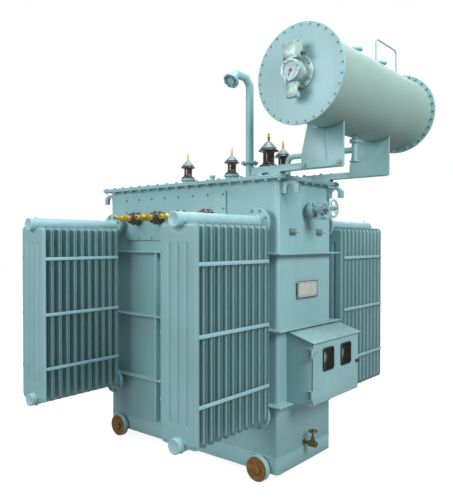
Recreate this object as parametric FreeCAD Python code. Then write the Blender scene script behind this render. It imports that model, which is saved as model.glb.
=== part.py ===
"""Oil-filled power transformer on four flanged-axle rollers.

Frame: X runs along the tank and points to the end that carries the conservator and the
control box, Y runs across it from the low-voltage side at the front to the back, Z is up.
The floor is Z = 0, and the origin is on the floor under the middle of the overall box.
"""
import FreeCAD, Part
import math
import os

from FreeCAD import Vector

# ---------------------------------------------------------------- driving dimensions (mm)
# Rollers and base
ROLLER_D = 170.0            # rolling diameter, also sets the height of the axles
ROLLER_W = 42.0             # tread width
ROLLER_RIM_D = 150.0        # edge of the flat, unpainted disc
AXLE_D = 44.0
AXLE_CAP_D = 66.0
AXLE_CAP_T = 8.0
ROLLER_SIDE_GAP = 8.0       # roller to base, and roller to retaining cap
ROLLER_INSET = 138.0        # axle centre in from each end of the tank
BEARING_GAP = 0.5           # radial clearance of a roller on its axle
AXLE_ABOVE_BOTTOM = 27.0    # axle centre above the underside of the base

# Tank
TANK_L = 1682.0
TANK_W = 680.0
TANK_H = 1943.0             # underside of the base to the top of the tank wall
TANK_CORNER_R = 26.0
BASE_H = 107.0              # height of the welded base section
CURB_OVERHANG = 46.0        # curb flange and cover beyond the tank wall
CURB_T = 12.0
COVER_T = 12.0

# Stiffeners, flat bars welded all round and up the long sides
STIFF_DEPTH = 53.0
STIFF_T = 10.0
RING_HEIGHTS = (459.0, 948.0, 1444.0)   # above the underside of the base
UPRIGHT_T = 12.0
UPRIGHT_X = 255.0           # from the middle of the tank, each way
UPRIGHT_FOOT = 36.0         # the uprights start this far above the base section

# Lifting hooks on the two end walls
HOOK_REACH = 130.0
HOOK_H = 78.0
HOOK_T = 20.0
HOOK_DROP = 14.0            # below the curb flange
HOOK_IN = 50.0              # hook to the side wall's face
HOOK_THROAT_R = 27.0
HOOK_ROOT = 36.0            # width of the leg at the wall
HOOK_NOSE = 39.0            # width of the nose that turns down
HOOK_MOUTH = 33.0           # straight part of the throat, below its arc
HOOK_SHOULDER = 36.0        # slope cut from the outer top corner

# Low-voltage terminal plate and terminals
LV_PLATE_L = 1054.0
LV_PLATE_H = 340.0
LV_PLATE_T = 14.0
LV_PLATE_X = -116.0         # its middle, from the middle of the tank
LV_PLATE_TOP_GAP = 56.0     # below the curb flange
LV_PITCH = 248.0
LV_AXIS_ABOVE_PLATE_MID = 0.0
LV_STEM_D = 34.0
LV_STEM_REACH = 250.0       # stem tip from the tank wall
LV_NUT_D = 52.0
LV_BODY_D = 78.0
LV_SHED_D = 104.0
LV_BODY_L = 96.0
LV_SHEDS = ((0.0, 12.0), (50.0, 58.0))  # each shed's faces, out from the plate
LV_SHED_SLOPE = 10.0        # from a shed's edge down to the body
LV_NUTS = ((96.0, 112.0), (150.0, 164.0))  # faces of the nuts, out from the plate

# Radiators: four, alike
PANEL_W = 296.0
PANEL_T = 20.0
SEAM_W = 12.0               # flat seam on both edges of a panel
SEAM_T = 3.0
PANEL_COUNT = 11
PANEL_PITCH = 64.0
FIRST_PANEL = 150.0         # middle of the first panel from the tank wall
HEADER_D = 89.0
HEADER_Z = (456.0, 1706.0)  # centres above the floor
HEADER_END = 46.0           # header beyond the last panel
HEADER_FIT = 0.3            # radial clearance of a panel on its header
PANEL_BOTTOM_LAP = 10.0     # panel edge beyond the lower header centre
PANEL_TOP_DROP = 14.0       # panel edge below the upper header centre
PANEL_CORNER_R = 34.0
RAD_INSET = 116.0           # header centres in from each end of the tank
FLANGE_D = 196.0
FLANGE_T = 14.0
STUB_L = 69.0               # tank stub with its flange, longer than the ring is deep
TIE_H = 22.0
TIE_T = 5.0
TIE_HEIGHTS = (686.0, 1068.0, 1461.0)

# Bushings on the cover: X and Y of each from the middle of the tank
SMALL_BUSHINGS = ((-375.0, 100.0), (99.0, 100.0), (580.0, 100.0))
LARGE_BUSHING = (588.0, -90.0)
TURRET_H = 94.0
TURRET_BASE_D = 118.0
TURRET_TOP_D = 92.0
TURRET_PLATE_T = 12.0
SMALL_BODY_D = 68.0
SMALL_BODY_L = 92.0
SMALL_SHED_D = 122.0
SMALL_SKIRT_D = 112.0       # foot of the porcelain
SMALL_SKIRT_H = 10.0
SMALL_FLARE_H = 20.0        # from the foot up to the straight body
SMALL_TAPER_H = 16.0        # from the body's end to the seat of the cap
SMALL_CAP_D = 98.0
SMALL_CAP_H = 44.0
SMALL_NECK_D = 24.0         # top of the cap
SMALL_STUD_D = 12.0
SMALL_NUT_D = 18.0
SMALL_NUT_H = 10.0
SMALL_NUT_UP = 24.0         # nut's underside above the cap
SMALL_STUD_L = 60.0
LARGE_SCALE = 1.2           # the large bushing against a small one
LARGE_BODY_EXTRA = 20.0     # and its body is longer by this

# Oil filling stub on the cover
STUB_X = -70.0
STUB_Y = 60.0
STUB_D = 34.0
STUB_CAP_D = 46.0
STUB_UP = 100.0
STUB_CAP_H = 18.0

# Explosion vent
VENT_X = 542.0
VENT_Y = -250.0
VENT_D = 54.0
VENT_FLANGE_D = 118.0
VENT_FLANGE_UP = 104.0      # underside of its flange above the cover
VENT_FLANGE_T = 6.0
VENT_KNEE_Z = 2655.0
VENT_TOP_Z = 2702.0
VENT_MOUTH_OUT = 208.0      # mouth from the pipe's axis, towards the front
VENT_MOUTH_Z = 2642.0
VENT_MOUTH_D = 106.0
VENT_MOUTH_T = 16.0

# Conservator
CONS_D = 504.0
CONS_WALL = 5.0
CONS_L = 1338.0             # over both end plates
CONS_END_LIP = 32.0         # end plates beyond the shell
CONS_END_T = 12.0
CONS_OUT = 366.0            # its axis beyond the tank's end wall
CONS_Z = 2520.0
BEAM_H = 40.0
BEAM_W = 56.0
BEAM_IN = 22.0              # beam's middle in from the tank's side wall
BEAM_START = 213.0          # inner end of the beams from the tank's end wall, inwards
BEAM_END_IN = 34.0          # beam's outer end in from the saddle's straight edge
BEAM_FOOT_H = 22.0
BEAM_FOOT_L = 90.0
BEAM_FEET_IN = (26.0, 170.0)  # feet in from the end wall
SADDLE_T = 12.0
SADDLE_OUT = 112.0          # straight edge beyond the conservator's axis
SADDLE_IN_TOP = 124.0
SADDLE_IN_BOTTOM = 182.0
SADDLE_FIT = 0.5
SADDLE_LAP = 96.0           # the saddle's plate rises this far above the shell's lowest line
RIB_W = 60.0
RIB_T = 8.0

# Oil-level gauge on the front end plate
GAUGE_FLANGE_D = 194.0
GAUGE_FLANGE_T = 14.0
GAUGE_BODY_D = 128.0
GAUGE_REACH = 84.0
GAUGE_BEZEL_D = 122.0
GAUGE_BEZEL_T = 14.0
GAUGE_DIAL_D = 92.0
GAUGE_DIAL_T = 3.0
GAUGE_BOX = (106.0, 46.0, 96.0)        # upper box: X, Y, Z
GAUGE_LOW_BOX = (72.0, 38.0, 82.0)     # lower box: X, Y, Z

# Fittings on top of the conservator
CAP_D = 74.0
CAP_H = 30.0
CAP_NECK_D = 40.0
CAP_UP = 84.0               # cap's top above the shell
CAP_Y = (28.0, 399.0)
RAIL_D = 12.0
RAIL_Y = (312.0, 648.0)
RAIL_UP = 210.0
RAIL_BEND_R = 30.0

# Pipe between cover and conservator
PIPE_D = 38.0
PIPE_X = 690.0              # riser from the cover, from the middle of the tank
PIPE_Z = 2178.0
PIPE_FLANGE_D = 66.0
PIPE_FLANGE_T = 8.0
DRIP_LEG_Z = 2100.0

# Filter valve on the end wall
FILTER_Z = 1803.0
FILTER_PIPE_D = 48.0
FILTER_FLANGE_D = 118.0
FILTER_FLANGE_T = 14.0
FILTER_BODY_L = 80.0
FILTER_BODY_D = 72.0
FILTER_STEM_D = 16.0
FILTER_WHEEL_D = 128.0
FILTER_WHEEL_RIM = 13.0
FILTER_REACH = 214.0        # middle of the handwheel from the wall
OUTLET_L = 34.0             # outlet below the body, closed by a blank flange

# Drain valve on the end wall
DRAIN_Z = 198.0
DRAIN_Y = -20.0
DRAIN_PIPE_D = 26.0
DRAIN_BODY_D = 44.0
DRAIN_OUT = 70.0            # middle of the body from the wall
DRAIN_BODY_L = 56.0
DRAIN_STEM_D = 12.0
DRAIN_STEM_H = 66.0
DRAIN_WHEEL_D = 66.0
DRAIN_WHEEL_RIM = 9.0
DRAIN_BORE = 18.0
HUB_GAP = 0.5               # radial clearance of a handwheel on its stem

# Nameplate and cable lugs on the end wall
PLATE_W = 260.0
PLATE_H = 116.0
PLATE_T = 3.0
PLATE_STANDOFF = 14.0
PLATE_Z = 1256.0
LUG_Y = 172.0
LUG_Z = 1656.0
LUG_W = 78.0
LUG_H = 30.0
LUG_OUT = 34.0
LUG_T = 6.0

# Control box
BOX_NEAR_IN = 105.0         # front side of the box in from the tank's side wall
BOX_FAR_OUT = 50.0          # its rear side beyond the other side wall
BOX_BOTTOM_GAP = 1.0        # above the lower ring stiffener
BOX_FRONT_H = 414.0
BOX_BACK_H = 471.0
BOX_DEPTH = 190.0
BOX_WALL = 4.0
ROOF_T = 4.0
ROOF_LIP = 16.0
DOOR_T = 5.0
DOOR_GAP = 5.0              # door to box front
DOOR_MARGIN = 6.0           # door edge in from the box's outline
DOOR_ROOM = 5.0             # door to the eave that it swings out under
HINGE_D = 14.0
HINGE_PIN_D = 6.0
HINGE_PIN_GAP = 0.4
HINGE_L = 52.0
HINGE_Z_IN = 70.0           # middle of a hinge from the door's ends
HINGE_OUT = 11.0            # hinge axis outside the box's side
WINDOW_W = 138.0
WINDOW_H = 146.0
WINDOW_IN = (193.0, 435.0)  # middles, from the front side of the box
WINDOW_Z = 805.0
GLASS_T = 4.0
KNOB_IN = 38.0              # from the rear side of the box
KNOB_Z = 732.0
KNOB_D = 26.0
KNOB_REACH = 22.0
DIAL_D = 104.0
DIAL_DEPTH = 60.0
PANEL_PLATE_T = 4.0

# ---------------------------------------------------------------- worked-out places
FLOOR_TO_BASE = ROLLER_D / 2 - AXLE_ABOVE_BOTTOM
BASE_TOP = FLOOR_TO_BASE + BASE_H
CONS_END_D = CONS_D + 2 * CONS_END_LIP
TANK_TOP = FLOOR_TO_BASE + TANK_H
CURB_Z = TANK_TOP - CURB_T
COVER_TOP = TANK_TOP + COVER_T
CONS_R = CONS_END_D / 2
TANK_X = -(CONS_OUT + CONS_R - HOOK_REACH) / 2   # middle of the tank in the part's frame
END_X = TANK_X + TANK_L / 2                      # the wall with the valves
BACK_X = TANK_X - TANK_L / 2
SIDE_Y = TANK_W / 2
HOOK_Y = SIDE_Y - HOOK_IN
BEAM_Y = SIDE_Y - BEAM_IN
RAD_X = TANK_L / 2 - RAD_INSET
BOX_Y = (BOX_NEAR_IN - SIDE_Y, SIDE_Y + BOX_FAR_OUT)
WINDOW_Y = tuple(BOX_Y[0] + inset for inset in WINDOW_IN)
KNOB_Y = BOX_Y[1] - KNOB_IN
CONS_X = END_X + CONS_OUT
BEAM_Z = COVER_TOP + BEAM_FOOT_H
BOX_Z = FLOOR_TO_BASE + RING_HEIGHTS[0] + STIFF_T / 2 + BOX_BOTTOM_GAP
BOX_FRONT = END_X + BOX_DEPTH
X, Y, Z = Vector(1, 0, 0), Vector(0, 1, 0), Vector(0, 0, 1)


# ---------------------------------------------------------------- helpers
def block(x, y, z):
    """A box from three (low, high) pairs."""
    return Part.makeBox(x[1] - x[0], y[1] - y[0], z[1] - z[0], Vector(x[0], y[0], z[0]))


def centred(middle, size):
    """A box of a given size about its middle."""
    corner = Vector(*[m - s / 2 for m, s in zip(middle, size)])
    return Part.makeBox(*size, corner)


def rod(diameter, length, start, direction):
    """A round bar from a start point along a direction."""
    return Part.makeCylinder(diameter / 2, length, start, direction)


def tube(outer, inner, length, start, direction):
    """A round tube from a start point along a direction."""
    return rod(outer, length, start, direction).cut(rod(inner, length, start, direction))


def turned(profile, base, direction):
    """A solid of revolution from (radius, height) points along a direction."""
    points = [Vector(r, 0, h) for r, h in profile]
    face = Part.Face(Part.makePolygon(points + points[:1]))
    solid = face.revolve(Vector(0, 0, 0), Z, 360)
    solid.Placement = FreeCAD.Placement(base, FreeCAD.Rotation(Z, direction))
    return solid


def fused(shapes):
    """One solid from shapes that overlap or touch."""
    first, *rest = shapes
    return first.multiFuse(rest).removeSplitter()


def pipe_run(points, diameter, bend):
    """A round bar along straight runs with one bend radius at each corner."""
    edges, start = [], points[0]
    for before, corner, after in zip(points, points[1:], points[2:]):
        u, v = (before - corner).normalize(), (after - corner).normalize()
        half = u.getAngle(v) / 2
        back = bend / math.tan(half)
        middle = corner + (u + v).normalize() * (bend / math.sin(half) - bend)
        a, b = corner + u * back, corner + v * back
        edges += [Part.LineSegment(start, a).toShape(), Part.Arc(a, middle, b).toShape()]
        start = b
    edges.append(Part.LineSegment(start, points[-1]).toShape())
    section = Part.Wire(Part.makeCircle(diameter / 2, points[0], points[1] - points[0]))
    return Part.Wire(edges).makePipeShell([section], True, False)


def mitred_run(points, diameter):
    """A round bar along straight runs with a mitre at each corner."""
    path = Part.Wire([Part.LineSegment(a, b).toShape() for a, b in zip(points, points[1:])])
    section = Part.Wire(Part.makeCircle(diameter / 2, points[0], points[1] - points[0]))
    return path.makePipeShell([section], True, False, 1)


def shell_barrel(clearance=0.0):
    """The conservator's outer cylinder, grown, with its seam turned to the lower back."""
    start = Vector(CONS_X, -CONS_L / 2, CONS_Z)
    barrel = rod(CONS_D + 2 * clearance, CONS_L, start, Y)
    barrel.rotate(start, Y, 37)
    return barrel


def save(name, solids):
    """Write one node; a list becomes separate solids in it."""
    shape = Part.makeCompound(solids) if isinstance(solids, list) else solids
    shape.exportStep(f"parts/{name}.step")


def mirrored_x(x_offset):
    """The two X places that mirror about the middle of the tank."""
    return (TANK_X - x_offset, TANK_X + x_offset)


# ---------------------------------------------------------------- tank
def tank_outline(grow, z):
    """The tank's plan, grown on every side, between two heights."""
    plan = block((BACK_X - grow, END_X + grow), (-SIDE_Y - grow, SIDE_Y + grow), z)
    upright = [e for e in plan.Edges if abs(e.tangentAt(e.FirstParameter).z) > 0.9]
    return plan.makeFillet(TANK_CORNER_R if grow <= 0 else 6.0, upright)


def make_tank():
    body = tank_outline(0, (BASE_TOP, TANK_TOP))
    save("tank_body", body)
    save("tank_base", tank_outline(0, (FLOOR_TO_BASE, BASE_TOP)))
    curb = tank_outline(CURB_OVERHANG, (CURB_Z, TANK_TOP))
    save("curb_flange", curb.cut(body))
    save("tank_cover", tank_outline(CURB_OVERHANG, (TANK_TOP, TANK_TOP + COVER_T)))
    return body


def make_stiffeners(tank):
    names = ("lower", "middle", "upper")
    levels = [FLOOR_TO_BASE + h for h in RING_HEIGHTS]
    for name, level in zip(names, levels):
        ring = tank_outline(STIFF_DEPTH, (level - STIFF_T / 2, level + STIFF_T / 2))
        save(f"ring_stiffener_{name}", ring.cut(tank))
    bottoms = [BASE_TOP + UPRIGHT_FOOT] + [z + STIFF_T / 2 for z in levels[:-1]]
    tops = [z - STIFF_T / 2 for z in levels]
    uprights = []
    for side in (-1, 1):
        for x in mirrored_x(UPRIGHT_X):
            for low, high in zip(bottoms, tops):
                middle_y = side * (SIDE_Y + STIFF_DEPTH / 2)
                uprights.append(centred((x, middle_y, (low + high) / 2),
                                        (UPRIGHT_T, STIFF_DEPTH, high - low)))
    save("upright_stiffeners", uprights)


def lifting_hook(wall_x, outward, y):
    """A plate whose nose turns down: the sling goes round under it and lies in the throat."""
    top = CURB_Z - HOOK_DROP
    low = top - HOOK_H
    inner, outer = HOOK_ROOT, HOOK_REACH - HOOK_NOSE
    profile = [(0, low), (inner, low), (inner, low + HOOK_MOUTH), (outer, low + HOOK_MOUTH),
               (outer, low), (HOOK_REACH, low), (HOOK_REACH, top - HOOK_SHOULDER * 0.8),
               (HOOK_REACH - HOOK_SHOULDER, top), (0, top)]
    points = [Vector(wall_x + outward * out, y - HOOK_T / 2, z) for out, z in profile]
    plate = Part.Face(Part.makePolygon(points + points[:1])).extrude(Y * HOOK_T)
    middle = wall_x + outward * (inner + outer) / 2
    throat = rod(2 * HOOK_THROAT_R, HOOK_T, Vector(middle, y - HOOK_T / 2, low + HOOK_MOUTH), Y)
    return plate.cut(throat)


def make_hooks():
    save("lifting_hooks", [lifting_hook(x, out, y) for x, out in ((BACK_X, -1), (END_X, 1))
                           for y in (-HOOK_Y, HOOK_Y)])


# ---------------------------------------------------------------- rollers
def roller_places():
    """Names, X and side of the four rollers."""
    offset = TANK_L / 2 - ROLLER_INSET
    return [(f"roller_{end}_{row}", TANK_X + s * offset, side)
            for end, s in (("left", -1), ("right", 1)) for row, side in (("front", -1), ("rear", 1))]


def make_rollers():
    axle_z = ROLLER_D / 2
    axles = []
    for name, x, side in roller_places():
        out = Y * side
        inner = Vector(x, side * (SIDE_Y + ROLLER_SIDE_GAP), axle_z)
        r, rim, bore = ROLLER_D / 2, ROLLER_RIM_D / 2, AXLE_D / 2 + BEARING_GAP
        save(name, turned([(bore, 0), (rim, 0), (r, 5), (r, ROLLER_W - 5), (rim, ROLLER_W),
                           (bore, ROLLER_W)], inner, out))
        length = 2 * ROLLER_SIDE_GAP + ROLLER_W
        pin = rod(AXLE_D, length, Vector(x, side * SIDE_Y, axle_z), out)
        cap = rod(AXLE_CAP_D, AXLE_CAP_T, Vector(x, side * (SIDE_Y + length), axle_z), out)
        axles.append(pin.fuse(cap).removeSplitter())
    save("roller_axles", axles)


# ---------------------------------------------------------------- low-voltage side
def make_lv_side():
    top = CURB_Z - LV_PLATE_TOP_GAP
    x = TANK_X + LV_PLATE_X
    plate_y = -SIDE_Y - LV_PLATE_T
    axis_z = top - LV_PLATE_H / 2 + LV_AXIS_ABOVE_PLATE_MID
    save("lv_terminal_plate", block((x - LV_PLATE_L / 2, x + LV_PLATE_L / 2),
                                    (plate_y, -SIDE_Y), (top - LV_PLATE_H, top)))
    porcelains, stems = [], []
    for i in range(4):
        base = Vector(x + (i - 1.5) * LV_PITCH, plate_y, axis_z)
        body, shed, bore = LV_BODY_D / 2, LV_SHED_D / 2, LV_STEM_D / 2
        (inner, inner_end), (outer, outer_end) = LV_SHEDS
        slope = LV_SHED_SLOPE
        porcelains.append(turned([(bore, inner), (shed, inner), (shed, inner_end),
                                  (body, inner_end + slope), (body, outer - slope), (shed, outer),
                                  (shed, outer_end), (body, outer_end + slope),
                                  (body, LV_BODY_L), (bore, LV_BODY_L)], base, -Y))
        reach = LV_STEM_REACH - LV_PLATE_T
        nut = LV_NUT_D / 2
        profile = [(0, 0), (bore, 0)]
        for low, high in LV_NUTS:
            profile += [(bore, low), (nut, low), (nut, high), (bore, high)]
        stems.append(turned(profile + [(bore, reach), (0, reach)], base, -Y))
    save("lv_porcelains", porcelains)
    save("lv_stems", stems)


# ---------------------------------------------------------------- radiators
def panel_places():
    """Distance of each panel's middle from the tank wall."""
    return [FIRST_PANEL + i * PANEL_PITCH for i in range(PANEL_COUNT)]


def radiator_panel(x, y, headers):
    """A pressed panel: a flat seam round a thicker fluted middle, notched for both headers."""
    low, high = HEADER_Z[0] - PANEL_BOTTOM_LAP, HEADER_Z[1] - PANEL_TOP_DROP
    seam = centred((x, y, (low + high) / 2), (PANEL_W, SEAM_T, high - low))
    seam = seam.makeFillet(PANEL_CORNER_R, [e for e in seam.Edges if abs(e.tangentAt(0).y) > 0.9])
    middle = centred((x, y, (low + high) / 2),
                     (PANEL_W - 2 * SEAM_W, PANEL_T, high - low - 2 * SEAM_W))
    middle = middle.makeFillet(PANEL_CORNER_R - SEAM_W,
                               [e for e in middle.Edges if abs(e.tangentAt(0).y) > 0.9])
    return seam.fuse(middle).cut(headers).removeSplitter()


def make_radiator(name, x, side):
    places = panel_places()
    wall = side * SIDE_Y
    header_start = STUB_L
    header_length = places[-1] + HEADER_END - header_start
    panels, frame = [], []
    notch = Part.makeCompound([rod(HEADER_D + 2 * HEADER_FIT, header_length + 2,
                                   Vector(x, wall + side * (header_start - 1), z), Y * side)
                               for z in HEADER_Z])
    for place in places:
        panels.append(radiator_panel(x, wall + side * place, notch))
    for z in HEADER_Z:
        start = Vector(x, wall + side * header_start, z)
        r, flange, length = HEADER_D / 2, FLANGE_D / 2, header_length
        frame.append(turned([(0, 0), (flange, 0), (flange, FLANGE_T), (r, FLANGE_T),
                             (r, length - 16), (r * 0.82, length - 5), (r * 0.5, length),
                             (0, length)], start, Y * side))
    tie_l = places[-1] - places[0] + SEAM_T
    tie_y = wall + side * (places[0] + places[-1]) / 2
    for z in TIE_HEIGHTS:
        for edge in (-1, 1):
            tie_x = x + edge * (PANEL_W + TIE_T) / 2
            frame.append(centred((tie_x, tie_y, z), (TIE_T, tie_l, TIE_H)))
    save(f"{name}_panels", panels)
    save(f"{name}_headers", frame)


def make_radiators():
    stubs = []
    for end, x in zip(("left", "right"), mirrored_x(RAD_X)):
        for row, side in (("front", -1), ("rear", 1)):
            make_radiator(f"radiator_{end}_{row}", x, side)
            for z in HEADER_Z:
                r, flange = HEADER_D / 2, FLANGE_D / 2
                stubs.append(turned([(0, 0), (r, 0), (r, STUB_L - FLANGE_T),
                                     (flange, STUB_L - FLANGE_T), (flange, STUB_L), (0, STUB_L)],
                                    Vector(x, side * SIDE_Y, z), Y * side))
    save("radiator_stubs", stubs)


# ---------------------------------------------------------------- bushings on the cover
def bushing(x, y, scale, extra):
    """Turret, porcelain and terminal of one bushing, stacked on the cover."""
    base = Vector(TANK_X + x, y, COVER_TOP)
    foot, neck = TURRET_BASE_D / 2 * scale, TURRET_TOP_D / 2 * scale
    plate = SMALL_SHED_D / 2 * scale
    turret = turned([(0, 0), (foot, 0), (neck, TURRET_H - TURRET_PLATE_T),
                     (plate, TURRET_H - TURRET_PLATE_T), (plate, TURRET_H), (0, TURRET_H)],
                    base, Z)
    body, shed = SMALL_BODY_D / 2 * scale, SMALL_SHED_D / 2 * scale
    length = SMALL_BODY_L + extra
    skirt, cap = SMALL_SKIRT_D / 2 * scale, SMALL_CAP_D / 2 * scale
    seat = length + SMALL_TAPER_H
    porcelain = turned([(0, 0), (skirt, 0), (skirt, SMALL_SKIRT_H),
                        (body, SMALL_SKIRT_H + SMALL_FLARE_H), (body, length),
                        (shed, length + 2), (shed, length + 7), (cap + 1, seat), (0, seat)],
                       base + Z * TURRET_H, Z)
    neck, stud, nut = (d / 2 * scale for d in (SMALL_NECK_D, SMALL_STUD_D, SMALL_NUT_D))
    top = SMALL_CAP_H * scale
    end = top + SMALL_STUD_L
    nut_low, nut_high = top + SMALL_NUT_UP, top + SMALL_NUT_UP + SMALL_NUT_H
    terminal = turned([(0, 0), (cap, 0), (neck, top), (stud, top), (stud, nut_low),
                       (nut, nut_low), (nut, nut_high), (stud, nut_high), (stud, end), (0, end)],
                      base + Z * (TURRET_H + seat), Z)
    return turret, porcelain, terminal


def make_bushings():
    sets = [bushing(x, y, 1.0, 0.0) for x, y in SMALL_BUSHINGS]
    sets.append(bushing(*LARGE_BUSHING, LARGE_SCALE, LARGE_BODY_EXTRA))
    for name, solids in zip(("bushing_turrets", "bushing_porcelains", "bushing_terminals"),
                            zip(*sets)):
        save(name, list(solids))


def make_filling_stub():
    pipe, cap = STUB_D / 2, STUB_CAP_D / 2
    low, high = STUB_UP - STUB_CAP_H, STUB_UP
    save("filling_stub", turned([(0, 0), (cap, 0), (cap, 8), (pipe, 8), (pipe, low), (cap, low),
                                 (cap, high), (0, high)],
                                Vector(TANK_X + STUB_X, STUB_Y, COVER_TOP), Z))


# ---------------------------------------------------------------- explosion vent
def make_vent():
    x = TANK_X + VENT_X
    flange_z = COVER_TOP + VENT_FLANGE_UP
    rise = VENT_TOP_Z - VENT_KNEE_Z
    mouth = Vector(x, VENT_Y - VENT_MOUTH_OUT, VENT_MOUTH_Z)
    knee = Vector(x, VENT_Y, VENT_KNEE_Z)
    high = Vector(x, VENT_Y - rise, VENT_TOP_Z)
    over = Vector(x, mouth.y + (VENT_TOP_Z - VENT_MOUTH_Z), VENT_TOP_Z)
    run = mitred_run([Vector(x, VENT_Y, COVER_TOP), knee, high, over, mouth], VENT_D)
    down = (mouth - over).normalize()
    ring = rod(VENT_MOUTH_D, VENT_MOUTH_T, mouth - down * VENT_MOUTH_T, down)
    flanges = [rod(VENT_FLANGE_D, VENT_FLANGE_T, Vector(x, VENT_Y, flange_z + dz), Z)
               for dz in (0, VENT_FLANGE_T)]
    recess = rod(VENT_MOUTH_D * 0.66, VENT_MOUTH_T * 0.6, mouth - down * VENT_MOUTH_T * 0.6, down)
    save("vent_pipe", fused([run, ring] + flanges).cut(recess))


# ---------------------------------------------------------------- conservator
def make_conservator():
    front_y, rear_y = -CONS_L / 2, CONS_L / 2
    axis = Vector(CONS_X, front_y + CONS_END_T, CONS_Z)
    save("conservator_shell", tube(CONS_D, CONS_D - 2 * CONS_WALL, CONS_L - 2 * CONS_END_T, axis, Y))
    save("conservator_front_plate", rod(CONS_END_D, CONS_END_T, Vector(CONS_X, front_y, CONS_Z), Y))
    save("conservator_rear_plate",
         rod(CONS_END_D, CONS_END_T, Vector(CONS_X, rear_y - CONS_END_T, CONS_Z), Y))


def saddle(beam_y):
    """A plate on the front face of a beam, cut to the shell, with one rib behind the axis."""
    y = beam_y - BEAM_W / 2
    top = CONS_Z - CONS_D / 2 + SADDLE_LAP
    profile = [(CONS_X - SADDLE_IN_BOTTOM, BEAM_Z), (CONS_X + SADDLE_OUT, BEAM_Z),
               (CONS_X + SADDLE_OUT, top), (CONS_X - SADDLE_IN_TOP, top),
               (CONS_X - SADDLE_IN_BOTTOM, BEAM_Z + 2 * BEAM_H)]
    points = [Vector(px, y, pz) for px, pz in profile]
    plate = Part.Face(Part.makePolygon(points + points[:1])).extrude(-Y * SADDLE_T)
    rib = block((CONS_X - RIB_T / 2, CONS_X + RIB_T / 2), (y, y + RIB_W), (BEAM_Z + BEAM_H, top))
    return plate.fuse(rib).cut(shell_barrel(SADDLE_FIT)).removeSplitter()


def make_conservator_supports():
    save("conservator_saddles", [saddle(-BEAM_Y), saddle(BEAM_Y)])
    beams = []
    for y in (-BEAM_Y, BEAM_Y):
        bar = block((END_X - BEAM_START, CONS_X + SADDLE_OUT - BEAM_END_IN),
                    (y - BEAM_W / 2, y + BEAM_W / 2), (BEAM_Z, BEAM_Z + BEAM_H))
        feet = [block((END_X - inset - BEAM_FOOT_L / 2, END_X - inset + BEAM_FOOT_L / 2),
                      (y - BEAM_W / 2, y + BEAM_W / 2), (COVER_TOP, BEAM_Z))
                for inset in BEAM_FEET_IN]
        beams.append(fused([bar] + feet))
    save("conservator_beams", beams)


def make_gauge():
    face_y = -CONS_L / 2
    centre = Vector(CONS_X, face_y, CONS_Z)
    reach = GAUGE_REACH
    body = fused([rod(GAUGE_FLANGE_D, GAUGE_FLANGE_T, centre, -Y),
                  rod(GAUGE_BODY_D * 0.8, reach, centre, -Y),
                  rod(GAUGE_BODY_D, GAUGE_BODY_D * 0.34, centre - Y * (reach - GAUGE_BODY_D * 0.34), -Y)])
    save("gauge_body", body)
    rim = tube(GAUGE_BEZEL_D, GAUGE_DIAL_D, GAUGE_BEZEL_T, centre - Y * reach, -Y)
    save("gauge_bezel", rim)
    save("gauge_dial", rod(GAUGE_DIAL_D - 1, GAUGE_DIAL_T, centre - Y * reach, -Y))
    boxes = []
    box_y = face_y - reach + GAUGE_BODY_D * 0.34 / 2
    for size, up in ((GAUGE_BOX, 1), (GAUGE_LOW_BOX, -1)):
        z = CONS_Z + up * (GAUGE_BODY_D / 2 + size[2] / 2)
        box = centred((CONS_X, box_y, z), size)
        neck = rod(size[1] * 0.7, GAUGE_BODY_D * 0.3, Vector(CONS_X, box_y, z), Z * -up)
        neck = neck.fuse(rod(size[1] * 0.7, size[2] / 2 + 8, Vector(CONS_X, box_y, z), Z * -up))
        boxes.append(box.fuse(neck).cut(body).removeSplitter())
    save("gauge_terminal_boxes", boxes)


def make_conservator_fittings():
    top = CONS_Z + CONS_D / 2
    sunk = CAP_NECK_D / 2
    caps = []
    for y in CAP_Y:
        r, neck = CAP_D / 2, CAP_NECK_D / 2
        cap = turned([(0, -sunk), (neck, -sunk), (neck, CAP_UP - CAP_H), (r, CAP_UP - CAP_H),
                      (r, CAP_UP - CAP_H * 0.6), (r * 0.6, CAP_UP), (0, CAP_UP)],
                     Vector(CONS_X, y, top), Z)
        caps.append(cap.cut(shell_barrel()))
    save("conservator_caps", caps)
    z = top + RAIL_UP
    rail = pipe_run([Vector(CONS_X, RAIL_Y[0], top - RAIL_D), Vector(CONS_X, RAIL_Y[0], z),
                     Vector(CONS_X, RAIL_Y[1], z), Vector(CONS_X, RAIL_Y[1], top - RAIL_D)],
                    RAIL_D, RAIL_BEND_R)
    save("conservator_rail", rail.cut(shell_barrel()))


def make_conservator_pipe():
    riser = Vector(TANK_X + PIPE_X, 0, COVER_TOP)
    corner = Vector(riser.x, 0, PIPE_Z)
    bottom = CONS_Z - CONS_D / 2
    run = pipe_run([riser, corner, Vector(CONS_X, 0, PIPE_Z)], PIPE_D, PIPE_D * 1.2)
    leg = rod(PIPE_D, bottom - DRIP_LEG_Z + PIPE_D, Vector(CONS_X, 0, DRIP_LEG_Z), Z)
    flange_z = (PIPE_Z + PIPE_D / 2 + bottom) / 2 - PIPE_FLANGE_T
    flanges = [rod(PIPE_FLANGE_D, PIPE_FLANGE_T, Vector(x, 0, z), Z) for x, z in
               ((CONS_X, flange_z), (CONS_X, flange_z + PIPE_FLANGE_T), (riser.x, COVER_TOP),
                (CONS_X, DRIP_LEG_Z), (riser.x, COVER_TOP + PIPE_FLANGE_T))]
    save("conservator_pipe", fused([run, leg] + flanges).cut(shell_barrel()))


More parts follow.
